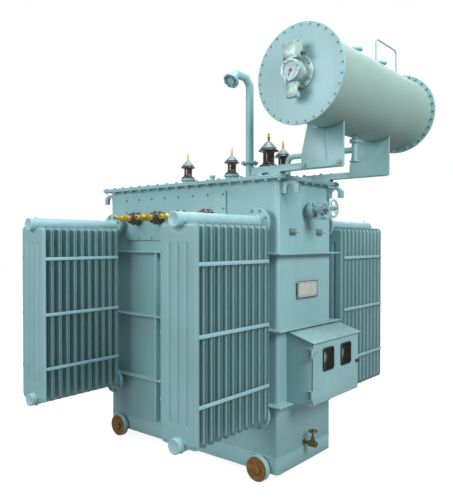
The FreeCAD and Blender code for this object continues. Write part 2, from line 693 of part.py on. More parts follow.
# ---------------------------------------------------------------- valves on the end wall
def handwheel(centre, direction, diameter, rim, bore):
    """A rim on four spokes round a bored hub."""
    ring = Part.makeTorus((diameter - rim) / 2, rim / 2, centre, direction)
    hub = rod(rim * 2.2, rim * 1.6, centre - direction * rim * 0.8, direction)
    spokes = []
    side = Y if abs(direction.x) > 0.5 else X
    for turn in range(4):
        out = FreeCAD.Rotation(direction, 45 + 90 * turn).multVec(side)
        spokes.append(rod(rim * 0.7, (diameter - rim) / 2, centre, out))
    wheel = fused([ring, hub] + spokes)
    return wheel.cut(rod(bore, rim * 4, centre - direction * rim * 2, direction))


def make_filter_valve():
    wall = Vector(END_X, 0, FILTER_Z)
    neck = FILTER_REACH - FILTER_BODY_L - 2 * FILTER_FLANGE_T
    stub_l = neck * 0.4
    body_x = END_X + stub_l + 2 * FILTER_FLANGE_T
    stub = rod(FILTER_PIPE_D, stub_l + 2, wall, X)
    flanges = rod(FILTER_FLANGE_D, 2 * FILTER_FLANGE_T, wall + X * stub_l, X)
    body = rod(FILTER_BODY_D, FILTER_BODY_L, Vector(body_x, 0, FILTER_Z), X)
    middle = Vector(body_x + FILTER_BODY_L / 2, 0, FILTER_Z)
    outlet_end = FILTER_BODY_D / 2 + OUTLET_L
    outlet = rod(FILTER_PIPE_D, outlet_end, middle, -Z)
    outlet_flange = rod(FILTER_FLANGE_D * 0.8, FILTER_FLANGE_T, middle - Z * outlet_end, Z)
    bonnet = rod(FILTER_PIPE_D, 14, Vector(body_x + FILTER_BODY_L, 0, FILTER_Z), X)
    stem_end = END_X + FILTER_REACH + FILTER_WHEEL_RIM * 1.6
    stem = rod(FILTER_STEM_D, stem_end - body_x, Vector(body_x, 0, FILTER_Z), X)
    save("filter_valve", fused([stub, flanges, body, outlet, outlet_flange, bonnet, stem]))
    save("filter_handwheel", handwheel(Vector(END_X + FILTER_REACH, 0, FILTER_Z), X,
                                       FILTER_WHEEL_D, FILTER_WHEEL_RIM,
                                       FILTER_STEM_D + 2 * HUB_GAP))


def make_drain_valve():
    wall = Vector(END_X, DRAIN_Y, DRAIN_Z)
    middle = wall + X * DRAIN_OUT
    end = DRAIN_OUT + DRAIN_BODY_L / 2
    pipe = rod(DRAIN_PIPE_D, end, wall, X)
    body = rod(DRAIN_BODY_D, DRAIN_BODY_L, middle - X * DRAIN_BODY_L / 2, X)
    stem_top = DRAIN_BODY_D / 2 + DRAIN_STEM_H
    bonnet = rod(DRAIN_PIPE_D, DRAIN_BODY_D / 2 + 22, middle, Z)
    stem = rod(DRAIN_STEM_D, stem_top + DRAIN_WHEEL_RIM * 1.6, middle, Z)
    bore = rod(DRAIN_BORE, DRAIN_BODY_L * 0.6, wall + X * (end - DRAIN_BODY_L * 0.6), X)
    save("drain_valve", fused([pipe, body, bonnet, stem]).cut(bore))
    save("drain_handwheel", handwheel(middle + Z * stem_top, Z, DRAIN_WHEEL_D, DRAIN_WHEEL_RIM,
                                      DRAIN_STEM_D + 2 * HUB_GAP))


# ---------------------------------------------------------------- small plates on the end wall
def make_plates():
    x = END_X + PLATE_STANDOFF
    plate = block((x, x + PLATE_T), (-PLATE_W / 2, PLATE_W / 2),
                  (PLATE_Z - PLATE_H / 2, PLATE_Z + PLATE_H / 2))
    posts = [rod(12, PLATE_STANDOFF, Vector(END_X, y, z), X)
             for y in (-PLATE_W * 0.42, PLATE_W * 0.42)
             for z in (PLATE_Z - PLATE_H * 0.38, PLATE_Z + PLATE_H * 0.38)]
    save("nameplate", fused([plate] + posts))
    lugs = []
    for y in (-LUG_Y, LUG_Y):
        foot = block((END_X, END_X + LUG_T), (y - LUG_W / 2, y + LUG_W / 2),
                     (LUG_Z - LUG_H / 2, LUG_Z + LUG_H / 2))
        shelf = block((END_X, END_X + LUG_OUT), (y - LUG_W / 2, y + LUG_W / 2),
                      (LUG_Z - LUG_H / 2, LUG_Z - LUG_H / 2 + LUG_T))
        lugs.append(foot.fuse(shelf).removeSplitter())
    save("cable_lugs", lugs)


# ---------------------------------------------------------------- control box
def sloped_prism(x, y, z_low, z_back, z_front):
    """A block whose top falls from the back to the front."""
    points = [Vector(x[0], y[0], z_low), Vector(x[1], y[0], z_low),
              Vector(x[1], y[0], z_front), Vector(x[0], y[0], z_back)]
    return Part.Face(Part.makePolygon(points + points[:1])).extrude(Y * (y[1] - y[0]))


def roof_height(x):
    """Height of the box's top at a distance out from the wall."""
    return BOX_Z + BOX_BACK_H - (BOX_BACK_H - BOX_FRONT_H) * (x - END_X) / BOX_DEPTH


def eave_x():
    """Outer edge of the roof, over the closed door."""
    return BOX_FRONT + DOOR_GAP + DOOR_T + ROOF_LIP


def hinge_heights():
    """Middles of the two hinges."""
    return (BOX_Z + HINGE_Z_IN, BOX_Z + BOX_FRONT_H - HINGE_Z_IN)


def make_control_box():
    y0, y1 = BOX_Y
    wall = BOX_WALL
    outer = sloped_prism((END_X, BOX_FRONT), BOX_Y, BOX_Z, roof_height(END_X),
                         roof_height(BOX_FRONT))
    inner = sloped_prism((END_X + wall, BOX_FRONT + 1), (y0 + wall, y1 - wall), BOX_Z + wall,
                         roof_height(END_X) - wall, roof_height(BOX_FRONT) - wall)
    save("control_box", outer.cut(inner))
    slope = (BOX_BACK_H - BOX_FRONT_H) / BOX_DEPTH
    eave = eave_x()
    roof = sloped_prism((END_X, eave), (y0 - ROOF_LIP, y1 + ROOF_LIP), BOX_Z,
                        roof_height(END_X) + ROOF_T, roof_height(eave) + ROOF_T)
    under = sloped_prism((END_X - 1, eave + 1), (y0 - ROOF_LIP - 1, y1 + ROOF_LIP + 1), BOX_Z - 1,
                         roof_height(END_X) + slope, roof_height(eave) - slope)
    save("control_box_roof", roof.cut(under))
    make_door(y0, y1)
    make_instruments(y0, y1)


def make_door(y0, y1):
    front = BOX_FRONT + DOOR_GAP
    low, high = BOX_Z + DOOR_MARGIN, roof_height(eave_x()) - DOOR_ROOM
    door = block((front, front + DOOR_T), (y0, y1 - DOOR_MARGIN), (low, high))
    for y in WINDOW_Y:
        door = door.cut(centred((front + DOOR_T / 2, y, WINDOW_Z),
                                (3 * DOOR_T, WINDOW_W, WINDOW_H)))
    axis_x, axis_y = front + DOOR_T / 2, y0 - HINGE_OUT
    leaves, pins = [door], []
    for z in hinge_heights():
        start = Vector(axis_x, axis_y, z - HINGE_L / 2)
        leaves.append(rod(HINGE_D, HINGE_L, start, Z))
        leaves.append(block((front, front + DOOR_T), (axis_y, y0 + 1),
                            (z - HINGE_L / 2, z + HINGE_L / 2)))
        pins.append(hinge_pin(axis_x, axis_y, y0, z))
    bores = [rod(HINGE_PIN_D + 2 * HINGE_PIN_GAP, HINGE_L, Vector(axis_x, axis_y, z - HINGE_L / 2), Z)
             for z in hinge_heights()]
    save("control_door", fused(leaves).cut(Part.makeCompound(bores)))
    save("door_hinge_pins", pins)
    panes = [centred((front + DOOR_T / 2, y, WINDOW_Z), (GLASS_T, WINDOW_W - 1, WINDOW_H - 1))
             for y in WINDOW_Y]
    save("door_windows", panes)
    save("door_knob", turned([(0, 0), (KNOB_D * 0.3, 0), (KNOB_D * 0.3, KNOB_REACH * 0.4),
                              (KNOB_D / 2, KNOB_REACH * 0.5), (KNOB_D / 2, KNOB_REACH),
                              (0, KNOB_REACH)], Vector(front + DOOR_T, KNOB_Y, KNOB_Z), X))


def hinge_pin(axis_x, axis_y, side_y, z):
    """A pin with arms above and below the knuckle, back to the side of the box."""
    gap = 1.5
    arm_t = 4.0
    length = HINGE_L + 2 * (gap + arm_t)
    pin = rod(HINGE_PIN_D, length, Vector(axis_x, axis_y, z - length / 2), Z)
    pieces = [pin]
    back = BOX_FRONT - 24.0
    for low in (z - length / 2, z + length / 2 - arm_t):
        pieces.append(block((back, axis_x + HINGE_D / 2), (axis_y - HINGE_D / 2, side_y),
                            (low, low + arm_t)).cut(
            block((BOX_FRONT, axis_x + HINGE_D), (side_y - 4, side_y + 1), (low - 1, low + arm_t + 1))))
    pieces.append(block((back, back + 6), (side_y - 6, side_y), (z - length / 2, z + length / 2)))
    return fused(pieces)


def make_instruments(y0, y1):
    """Mounting plate inside the box, with a dial thermometer behind each window."""
    plate_x = BOX_FRONT - DIAL_DEPTH - PANEL_PLATE_T
    plate = block((plate_x, plate_x + PANEL_PLATE_T), (y0 + BOX_WALL, y1 - BOX_WALL),
                  (BOX_Z + BOX_WALL, BOX_Z + BOX_FRONT_H - 2 * BOX_WALL))
    dials = [rod(DIAL_D, DIAL_DEPTH * 0.6, Vector(plate_x + PANEL_PLATE_T, y, WINDOW_Z), X)
             for y in WINDOW_Y]
    save("instrument_plate", plate)
    save("instrument_dials", dials)


# ---------------------------------------------------------------- build
def main():
    os.makedirs("parts", exist_ok=True)
    tank = make_tank()
    make_stiffeners(tank)
    make_hooks()
    make_rollers()
    make_lv_side()
    make_radiators()
    make_bushings()
    make_filling_stub()
    make_vent()
    make_conservator()
    make_conservator_supports()
    make_gauge()
    make_conservator_fittings()
    make_conservator_pipe()
    make_filter_valve()
    make_drain_valve()
    make_plates()
    make_control_box()


main()
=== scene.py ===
"""Looks of an oil-filled power transformer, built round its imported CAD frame.

Each sub-assembly is a class that takes its places from the frame's own boxes, works out its
surfaces as whole numpy arrays in millimetres and dresses them in a named finish. The frame's
X runs along the tank towards the conservator, Y from the low-voltage side to the back, Z up.
"""

import logging
import math
from collections.abc import Iterable
from dataclasses import dataclass, field
from enum import Enum

import bmesh
import bpy
import numpy as np
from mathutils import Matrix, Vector

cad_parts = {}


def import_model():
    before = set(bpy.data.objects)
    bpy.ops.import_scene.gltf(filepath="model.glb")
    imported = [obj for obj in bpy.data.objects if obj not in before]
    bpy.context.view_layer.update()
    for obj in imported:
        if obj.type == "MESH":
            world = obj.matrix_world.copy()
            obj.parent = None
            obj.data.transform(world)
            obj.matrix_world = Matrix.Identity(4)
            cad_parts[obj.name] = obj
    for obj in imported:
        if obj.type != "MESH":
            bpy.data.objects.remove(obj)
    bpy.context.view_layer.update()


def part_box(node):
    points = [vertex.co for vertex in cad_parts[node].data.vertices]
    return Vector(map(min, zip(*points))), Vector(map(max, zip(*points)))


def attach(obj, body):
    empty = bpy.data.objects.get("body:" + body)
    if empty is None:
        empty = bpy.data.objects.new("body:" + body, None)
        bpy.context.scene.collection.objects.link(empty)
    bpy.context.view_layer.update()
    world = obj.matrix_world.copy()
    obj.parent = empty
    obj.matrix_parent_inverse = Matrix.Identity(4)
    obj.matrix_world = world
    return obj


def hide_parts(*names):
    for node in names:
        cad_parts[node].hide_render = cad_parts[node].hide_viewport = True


LOG = logging.getLogger("transformer")
MM = 0.001
ROOT = "transformer"
MIX_UNDER, MIX_OVER, MIX_RESULT = 6, 7, 2    # a colour Mix node's own sockets
X_AXIS = np.array([1.0, 0.0, 0.0])
Y_AXIS = np.array([0.0, 1.0, 0.0])
Z_AXIS = np.array([0.0, 0.0, 1.0])


# ------------------------------------------------------------------ colour and nodes
def linear(hex_colour: str) -> tuple[float, float, float, float]:
    """Turn an sRGB hex colour into linear light.

    Args:
        hex_colour: six hex digits after a hash.

    Returns:
        Red, green, blue and an alpha of one.
    """
    channels = np.array([int(hex_colour[i:i + 2], 16) for i in (1, 3, 5)]) / 255.0
    low = channels / 12.92
    high = ((channels + 0.055) / 1.055) ** 2.4
    red, green, blue = np.where(channels <= 0.04045, low, high)
    return float(red), float(green), float(blue), 1.0


def per_metre(size_mm: float) -> float:
    """Scale of a pattern whose features are size_mm across, in repeats to a metre."""
    return 1.0 / (size_mm * MM)


def add_node(tree: bpy.types.NodeTree, kind: str, inputs: dict | None = None,
             **settings: object) -> bpy.types.Node:
    """Add one node with its settings, values and links.

    Args:
        tree: the material's node tree.
        kind: the node's type name.
        inputs: a value, or the output socket that feeds it, for each named input.
        **settings: the node's own properties.

    Returns:
        The new node.
    """
    node = tree.nodes.new(kind)
    for name, value in settings.items():
        setattr(node, name, value)
    for name, value in (inputs or {}).items():
        if isinstance(value, bpy.types.NodeSocket):
            tree.links.new(value, node.inputs[name])
        else:
            node.inputs[name].default_value = value
    return node


# ------------------------------------------------------------------ finishes
@dataclass(frozen=True)
class Finish:
    """A surface finish: two tones that drift into each other, a fine relief and a gloss.

    Attributes:
        title: the material's name, for what it is and how it was made.
        tone: main colour.
        drift: colour that patches of the surface drift towards.
        patch_mm: size of those patches.
        grain_mm: size of the fine relief.
        relief_mm: depth of the relief.
        roughness: middle roughness; the patches move it a little.
        metallic: share of bare metal.
        coat: strength of a clear coat or glaze.
    """

    title: str
    tone: str
    drift: str
    patch_mm: float = 300.0
    grain_mm: float = 5.0
    relief_mm: float = 0.1
    roughness: float = 0.4
    metallic: float = 0.0
    coat: float = 0.0

    def material(self) -> bpy.types.Material:
        """The finish's material, made at the first call."""
        found = bpy.data.materials.get(self.title)
        return found or self.build()

    def blank(self) -> tuple[bpy.types.Material, bpy.types.NodeTree]:
        """A new material under the finish's name, and its empty node tree."""
        material = bpy.data.materials.new(self.title)
        material.use_nodes = True
        material.node_tree.nodes.clear()
        return material, material.node_tree

    def colour(self, tree: bpy.types.NodeTree, place: bpy.types.NodeSocket,
               patches: bpy.types.NodeSocket) -> bpy.types.NodeSocket:
        """Colour of the surface: the main tone, drifting to the second one in patches.

        Args:
            tree: the material's node tree.
            place: object coordinates in metres.
            patches: noise from 0 to 1 that marks the patches.

        Returns:
            The colour socket.
        """
        share = add_node(tree, "ShaderNodeMapRange", {
            "Value": patches, "From Min": 0.35, "From Max": 0.68})
        return add_node(tree, "ShaderNodeMix", {
            "Factor": share.outputs["Result"], MIX_UNDER: linear(self.tone),
            MIX_OVER: linear(self.drift)}, data_type="RGBA").outputs[MIX_RESULT]

    def build(self) -> bpy.types.Material:
        """Make the material: patches of tone, a roughness that follows them and a fine relief."""
        material, tree = self.blank()
        output = add_node(tree, "ShaderNodeOutputMaterial")
        shader = add_node(tree, "ShaderNodeBsdfPrincipled", {"Metallic": self.metallic})
        place = add_node(tree, "ShaderNodeTexCoord").outputs["Object"]
        patches = add_node(tree, "ShaderNodeTexNoise", {
            "Vector": place, "Scale": per_metre(self.patch_mm), "Detail": 4.0})
        tree.links.new(self.colour(tree, place, patches.outputs["Fac"]), shader.inputs["Base Color"])
        gloss = add_node(tree, "ShaderNodeMapRange", {
            "Value": patches.outputs["Fac"], "From Min": 0.3, "From Max": 0.7,
            "To Min": self.roughness * 0.85, "To Max": min(1.0, self.roughness * 1.15)})
        tree.links.new(gloss.outputs["Result"], shader.inputs["Roughness"])
        grain = add_node(tree, "ShaderNodeTexNoise", {
            "Vector": place, "Scale": per_metre(self.grain_mm), "Detail": 3.0})
        bump = add_node(tree, "ShaderNodeBump", {
            "Height": grain.outputs["Fac"], "Strength": 0.6, "Distance": self.relief_mm * MM})
        tree.links.new(bump.outputs["Normal"], shader.inputs["Normal"])
        if self.coat > 0:
            shader.inputs["Coat Weight"].default_value = self.coat
            shader.inputs["Coat Roughness"].default_value = 0.05
        tree.links.new(shader.outputs["BSDF"], output.inputs["Surface"])
        return material


@dataclass(frozen=True)
class WeatheredEnamel(Finish):
    """Sprayed enamel on steel: run marks down the sheet, and pale dust on what faces up.

    Attributes:
        streak: colour of the faint run marks.
        dust: colour of the dust.
        dust_share: how much of the dust shows on a level face.
        streak_mm: width of a run mark.
        run_squeeze: a run mark's width over its length.
        speckle_mm: size of the patches of dust.
    """

    streak: str = "#7C9C97"
    dust: str = "#B9CFC9"
    dust_share: float = 0.45
    streak_mm: float = 38.0
    run_squeeze: float = 0.045
    speckle_mm: float = 90.0

    def colour(self, tree: bpy.types.NodeTree, place: bpy.types.NodeSocket,
               patches: bpy.types.NodeSocket) -> bpy.types.NodeSocket:
        """Enamel's tones, then run marks on upright faces, then dust on level ones."""
        base = super().colour(tree, place, patches)
        drawn = add_node(tree, "ShaderNodeMapping", {
            "Vector": place, "Scale": (1.0, 1.0, self.run_squeeze)})
        runs = add_node(tree, "ShaderNodeTexNoise", {
            "Vector": drawn.outputs["Vector"], "Scale": per_metre(self.streak_mm), "Detail": 3.0})
        run_share = add_node(tree, "ShaderNodeMapRange", {
            "Value": runs.outputs["Fac"], "From Min": 0.5, "From Max": 0.8, "To Max": 0.2})
        streaked = add_node(tree, "ShaderNodeMix", {
            "Factor": run_share.outputs["Result"], MIX_UNDER: base,
            MIX_OVER: linear(self.streak)}, data_type="RGBA")
        facing = add_node(tree, "ShaderNodeSeparateXYZ", {
            "Vector": add_node(tree, "ShaderNodeNewGeometry").outputs["Normal"]})
        level = add_node(tree, "ShaderNodeMapRange", {
            "Value": facing.outputs["Z"], "From Min": 0.45, "From Max": 0.98})
        speckle = add_node(tree, "ShaderNodeTexNoise", {
            "Vector": place, "Scale": per_metre(self.speckle_mm), "Detail": 5.0})
        cover = add_node(tree, "ShaderNodeMapRange", {
            "Value": speckle.outputs["Fac"], "From Min": 0.3, "From Max": 0.7,
            "To Max": self.dust_share})
        dusty = add_node(tree, "ShaderNodeMath", {0: level.outputs["Result"],
                                                  1: cover.outputs["Result"]}, operation="MULTIPLY")
        return add_node(tree, "ShaderNodeMix", {
            "Factor": dusty.outputs[0], MIX_UNDER: streaked.outputs[MIX_RESULT],
            MIX_OVER: linear(self.dust)}, data_type="RGBA").outputs[MIX_RESULT]


@dataclass(frozen=True)
class TintedGlass(Finish):
    """Thin window glass: a faint tint over what lies behind, and a polished face.

    Attributes:
        cover: share of what lies behind that the tint covers.
    """

    cover: float = 0.1

    def build(self) -> bpy.types.Material:
        """Make the glass: a thin see-through sheet with a faint ripple."""
        material, tree = self.blank()
        output = add_node(tree, "ShaderNodeOutputMaterial")
        place = add_node(tree, "ShaderNodeTexCoord").outputs["Object"]
        film = add_node(tree, "ShaderNodeTexNoise", {
            "Vector": place, "Scale": per_metre(self.patch_mm), "Detail": 3.0})
        tint = Finish.colour(self, tree, place, film.outputs["Fac"])
        shader = add_node(tree, "ShaderNodeBsdfPrincipled", {
            "Base Color": tint, "Roughness": self.roughness, "IOR": 1.5, "Alpha": self.cover})
        ripple = add_node(tree, "ShaderNodeBump", {
            "Height": film.outputs["Fac"], "Strength": 0.1, "Distance": self.relief_mm * MM})
        tree.links.new(ripple.outputs["Normal"], shader.inputs["Normal"])
        tree.links.new(shader.outputs["BSDF"], output.inputs["Surface"])
        return material


# Sprayed alkyd enamel on plate: a satin pale grey-green that drifts in soft clouds
BODY_ENAMEL = WeatheredEnamel("sprayed_enamel_on_plate", "#8DB9C0", "#86B1B4", 420.0, 7.0, 0.12, 0.42)
# The same enamel on the rolled shell, tinted darker and greyer than on the plate: painted shade for how
# light falls on the shell
SHADED_SHELL_ENAMEL = WeatheredEnamel("sprayed_enamel_on_rolled_shell", "#8DAAA2", "#86A49F", 380.0, 7.0, 0.12,
                               0.45, streak="#859D93", dust="#A9BDB4", dust_share=0.35)
# Flow-coated enamel on pressed radiator sheet: thinner, so a little bluer and smoother
RADIATOR_ENAMEL = WeatheredEnamel("flow_coated_enamel_on_pressed_sheet", "#80AAB0", "#7AA3A6", 260.0,
                                  6.0, 0.08, 0.38, streak="#76989A", dust="#A9C6CA")
# Brushed-on enamel of tie bars, radiator headers, treads and the filter wheel: the palest coat
BAR_ENAMEL = WeatheredEnamel("brushed_enamel_on_bar", "#93BDC6", "#8CB5BD", 120.0, 5.0, 0.1, 0.4,
                             dust="#BBD6DC")
# Enamelled bolt heads: chipped by the spanner, so duller and darker than the sheet
BOLT_ENAMEL = Finish("enamelled_bolt_steel", "#789B9E", "#617F81", 14.0, 3.0, 0.1, 0.45, 0.1)
# Zinc-plated nuts under the cover, still bare: pale straw from the passivated zinc
BARE_ZINC = Finish("passivated_zinc_plated_steel", "#D4DEDA", "#B8C5BE", 16.0, 2.0, 0.05, 0.4, 0.1)
# Grey zinc-rich cap on the bushings: dull cast metal
CAP_METAL = Finish("sand_cast_zinc_alloy", "#93AFB4", "#6E888C", 24.0, 3.0, 0.15, 0.45, 0.25)
# Cast and lightly machined aluminium of the level gauge: pale, a little yellow in patches
CAST_ALLOY = Finish("gravity_cast_aluminium", "#AECBCB", "#8CA69F", 40.0, 2.5, 0.12, 0.42, 0.25)
# Brown glazed porcelain: liquid gloss over a deep brown body
BROWN_GLAZE = Finish("brown_glazed_porcelain", "#4A3B27", "#30271A", 22.0, 9.0, 0.1, 0.16, 0.0, 0.7)
# Turned brass of the terminals: yellow, with tarnish in patches
TURNED_BRASS = Finish("turned_brass", "#E9CD62", "#BD9C42", 26.0, 2.0, 0.06, 0.34, 0.55)
# Cast valve brass: darker and greened by handling
VALVE_BRASS = Finish("cast_valve_brass", "#8F8150", "#4A4A30", 14.0, 2.5, 0.12, 0.42, 0.7)
# Cast iron of the rollers and axle pins, left bare: brown rust with a dry, gritty face
BARE_IRON = Finish("rusted_grey_cast_iron", "#8F6835", "#6A4C27", 26.0, 3.0, 0.35, 0.85)
# Cast iron of the filter valve under a thick coat of enamel
VALVE_ENAMEL = Finish("enamelled_cast_iron", "#9AC2C5", "#668689", 22.0, 3.0, 0.3, 0.3)
# White vitreous enamel of the name plate, glossy and even
WHITE_ENAMEL = Finish("white_vitreous_enamel", "#BFC4C1", "#B0B7B2", 60.0, 8.0, 0.03, 0.25)
# Printed dial card under glass: bluish white and even
DIAL_CARD = Finish("printed_dial_card", "#BCD3DE", "#B2CAD6", 40.0, 6.0, 0.01, 0.5)
# Ink of plate borders, scales and needles
DARK_INK = Finish("printed_dark_ink", "#20262B", "#2E353A", 12.0, 2.0, 0.02, 0.5)
# Oxide-red border of the plate
RED_INK = Finish("printed_oxide_red_ink", "#5C4444", "#6B5250", 16.0, 2.0, 0.02, 0.5)
# Moulded rubber of the gaskets: black, soft sheen
GASKET_RUBBER = Finish("moulded_nitrile_rubber", "#23282A", "#33393A", 18.0, 2.0, 0.08, 0.6)
# Phenolic knob: black and polished
KNOB_PHENOLIC = Finish("moulded_phenolic", "#15171A", "#202327", 20.0, 3.0, 0.03, 0.22, 0.0, 0.3)
# Olive inner paint of the box, in shade behind the windows
INNER_PAINT = Finish("brushed_olive_primer", "#7C7C5A", "#6C6C4E", 90.0, 5.0, 0.12, 0.6)
# Cold-rolled steel of the screws, rivets and the filter valve's stem, rubbed bright
BRIGHT_STEEL = Finish("rubbed_cold_rolled_steel", "#8FA9AE", "#6B7E80", 20.0, 1.8, 0.06, 0.38, 0.4)
# Nylon of the cable glands and dial cases: dark olive
GLAND_NYLON = Finish("moulded_olive_nylon", "#5A5F3C", "#4A4E30", 14.0, 2.0, 0.08, 0.5)
# Window panes with an olive-brown tint
PANE = TintedGlass("tinted_float_glass", "#3C3D2A", "#34382A", 160.0, 9.0, 0.05, 0.08, cover=0.15)
# Clear cover of the gauge and dials
CLEAR_PANE = TintedGlass("clear_float_glass", "#DCE8EC", "#D4E2E6", 200.0, 9.0, 0.02, 0.08, cover=0.06)
# Inside of the vent's mouth: a bakelised diaphragm, its near-black tone partly painted shade for the recess
# of the mouth
DIAPHRAGM_AND_SHADE = Finish("bakelised_diaphragm", "#2C2A22", "#3D3A2E", 30.0, 3.0, 0.1, 0.55)


# ------------------------------------------------------------------ surfaces
def unit(vectors: np.ndarray) -> np.ndarray:
    """Each vector over its own length."""
    return vectors / np.linalg.norm(vectors, axis=-1, keepdims=True)


def frame_along(direction: np.ndarray) -> np.ndarray:
    """Three axes as columns, the last along a direction and the first as level as it can be."""
    w = unit(np.asarray(direction, float))
    across = np.cross(Z_AXIS, w) if abs(w[2]) < 0.9 else X_AXIS - w * w[0]
    u = unit(across)
    return np.stack([u, np.cross(w, u), w], axis=1)


def turned(profile: Iterable[tuple[float, float]], steps: int = 48, phase: float = 0.0) -> np.ndarray:
    """Surface of revolution about Z.

    A point at height h and angle a is (r(h) cos a, r(h) sin a, h).

    Args:
        profile: (radius, height) pairs from the bottom up.
        steps: points round the axis.
        phase: angle of the first one.

    Returns:
        An array of rings, points and coordinates.
    """
    pairs = np.asarray(list(profile), float)
    angles = phase + np.arange(steps) * 2 * np.pi / steps
    ring = np.stack([np.cos(angles), np.sin(angles), np.zeros(steps)], axis=-1)
    return pairs[:, 0, None, None] * ring + pairs[:, 1, None, None] * Z_AXIS


def eased(profile: Iterable[tuple[float, float]], rounds: int = 2) -> np.ndarray:
    """Round a profile's corners: each pass cuts every corner at a quarter of its two sides."""
    points = np.asarray(list(profile), float)
    for _ in range(rounds):
        near = points[:-1] * 0.75 + points[1:] * 0.25
        far = points[:-1] * 0.25 + points[1:] * 0.75
        cut = np.stack([near, far], axis=1).reshape(-1, points.shape[1])
        points = np.concatenate([points[:1], cut, points[-1:]])
    return points


def swept(path: np.ndarray, radius: float, side: np.ndarray, steps: int = 24,
          closed: bool = False) -> np.ndarray:
    """Round tube along a flat path.

    Each ring is centre + radius (cos a * n + sin a * side), where n lies in the path's plane,
    halves the turn at that point and is longer by one over the cosine of half the turn.

    Args:
        path: points of the centre line.
        radius: the tube's radius.
        side: unit vector square to the path's plane.
        steps: points round the tube.
        closed: whether the path returns to its start.

    Returns:
        An array of rings, points and coordinates.
    """
    ahead = np.roll(path, -1, axis=0) - path
    behind = path - np.roll(path, 1, axis=0)
    if not closed:
        ahead[-1] = behind[-1]
        behind[0] = ahead[0]
    first, second = np.cross(side, unit(behind)), np.cross(side, unit(ahead))
    middle = unit(first + second)
    middle = middle / np.sum(middle * first, axis=-1, keepdims=True)
    angles = np.arange(steps) * 2 * np.pi / steps
    ring = (np.cos(angles)[None, :, None] * middle[:, None, :]
            + np.sin(angles)[None, :, None] * side[None, None, :])
    return path[:, None, :] + radius * ring


def bent(corners: Iterable[Iterable[float]], bend: float, steps: int = 8) -> np.ndarray:
    """Centre line of straight runs joined by arcs.

    At a corner with unit vectors u and v along its two runs, the arc's centre lies on u + v, and
    the arc's points turn evenly from one tangent point to the other.

    Args:
        corners: the path's ends and corners.
        bend: radius of each arc.
        steps: points along an arc.

    Returns:
        The path's points.
    """
    points = np.asarray(list(corners), float)
    middle = points[1:-1]
    u, v = unit(points[:-2] - middle), unit(points[2:] - middle)
    half = np.arccos(np.sum(u * v, axis=-1)) / 2
    centre = middle + unit(u + v) * (bend / np.sin(half))[:, None]
    start = middle + u * (bend / np.tan(half))[:, None] - centre
    along = -u * bend
    turn = (np.pi - 2 * half)[:, None] * np.linspace(0, 1, steps)[None, :]
    arcs = (centre[:, None, :] + start[:, None, :] * np.cos(turn)[..., None]
            + along[:, None, :] * np.sin(turn)[..., None])
    return np.concatenate([points[:1], arcs.reshape(-1, 3), points[-1:]])


def soft_block(low: Iterable[float], high: Iterable[float], radius: float, steps: int = 3) -> np.ndarray:
    """Box with rounded edges as one closed grid.

    A sphere's grid is cut at the quarter turns of both angles, and each eighth is moved to its
    own corner of the box that lies one radius inside, so flats open between the eighths.

    Args:
        low: lowest corner.
        high: highest corner.
        radius: radius of the edges.
        steps: points along each quarter turn.

    Returns:
        An array of rings, points and coordinates.
    """
    low, high = np.asarray(low, float), np.asarray(high, float)
    quarter = np.linspace(0, np.pi / 2, steps)
    round_angle = (np.arange(4)[:, None] * np.pi / 2 + quarter).ravel()
    round_sign = np.repeat(np.array([[1, 1], [-1, 1], [-1, -1], [1, -1]]), steps, axis=0)
    lift = np.concatenate([quarter - np.pi / 2, quarter])
    lift_sign = np.repeat([-1, 1], steps)
    inner = (high - low) / 2 - radius
    ball = np.stack([np.cos(lift)[:, None] * np.cos(round_angle), np.cos(lift)[:, None]
                     * np.sin(round_angle), np.repeat(np.sin(lift)[:, None], 4 * steps, axis=1)], axis=-1)
    sign = np.concatenate([np.broadcast_to(round_sign, (2 * steps, 4 * steps, 2)),
                           np.broadcast_to(lift_sign[:, None, None], (2 * steps, 4 * steps, 1))], axis=-1)
    return (low + high) / 2 + sign * inner + radius * ball


def placed(grid: np.ndarray, origin: Iterable[float], direction: np.ndarray = Z_AXIS) -> np.ndarray:
    """The same surface with its Z turned along a direction and its origin moved to a place."""
    return grid @ frame_along(direction).T + np.asarray(origin, float)


def spun(grid: np.ndarray, degrees: float) -> np.ndarray:
    """The same surface turned about Z."""
    cosine, sine = math.cos(math.radians(degrees)), math.sin(math.radians(degrees))
    return grid @ np.array([[cosine, -sine, 0], [sine, cosine, 0], [0, 0, 1]]).T


def rim(radius: float, start: float, end: float, inset: float, rise: float) -> list[tuple[float, float]]:
    """Profile of a disc's edge: full radius between two heights, chamfered by inset and rise."""
    return [(radius - inset, start), (radius, start + rise), (radius, end - rise), (radius - inset, end)]


def round_rectangle(low: Iterable[float], high: Iterable[float], corner: float, steps: int) -> np.ndarray:
    """A rectangle with quarter-circle corners, as pairs of coordinates.

    Each corner's circle is centred one radius inside it and gives a quarter of the turn.

    Args:
        low: lowest corner.
        high: highest corner.
        corner: radius of the corners.
        steps: points along each quarter.

    Returns:
        The outline's points.
    """
    angles = (np.arange(4)[:, None] * np.pi / 2 + np.linspace(0, np.pi / 2, steps)).ravel()
    far = np.repeat([[1, 1], [0, 1], [0, 0], [1, 0]], steps, axis=0).astype(bool)
    centres = np.where(far, np.asarray(high) - corner, np.asarray(low) + corner)
    return centres + corner * np.stack([np.cos(angles), np.sin(angles)], axis=-1)


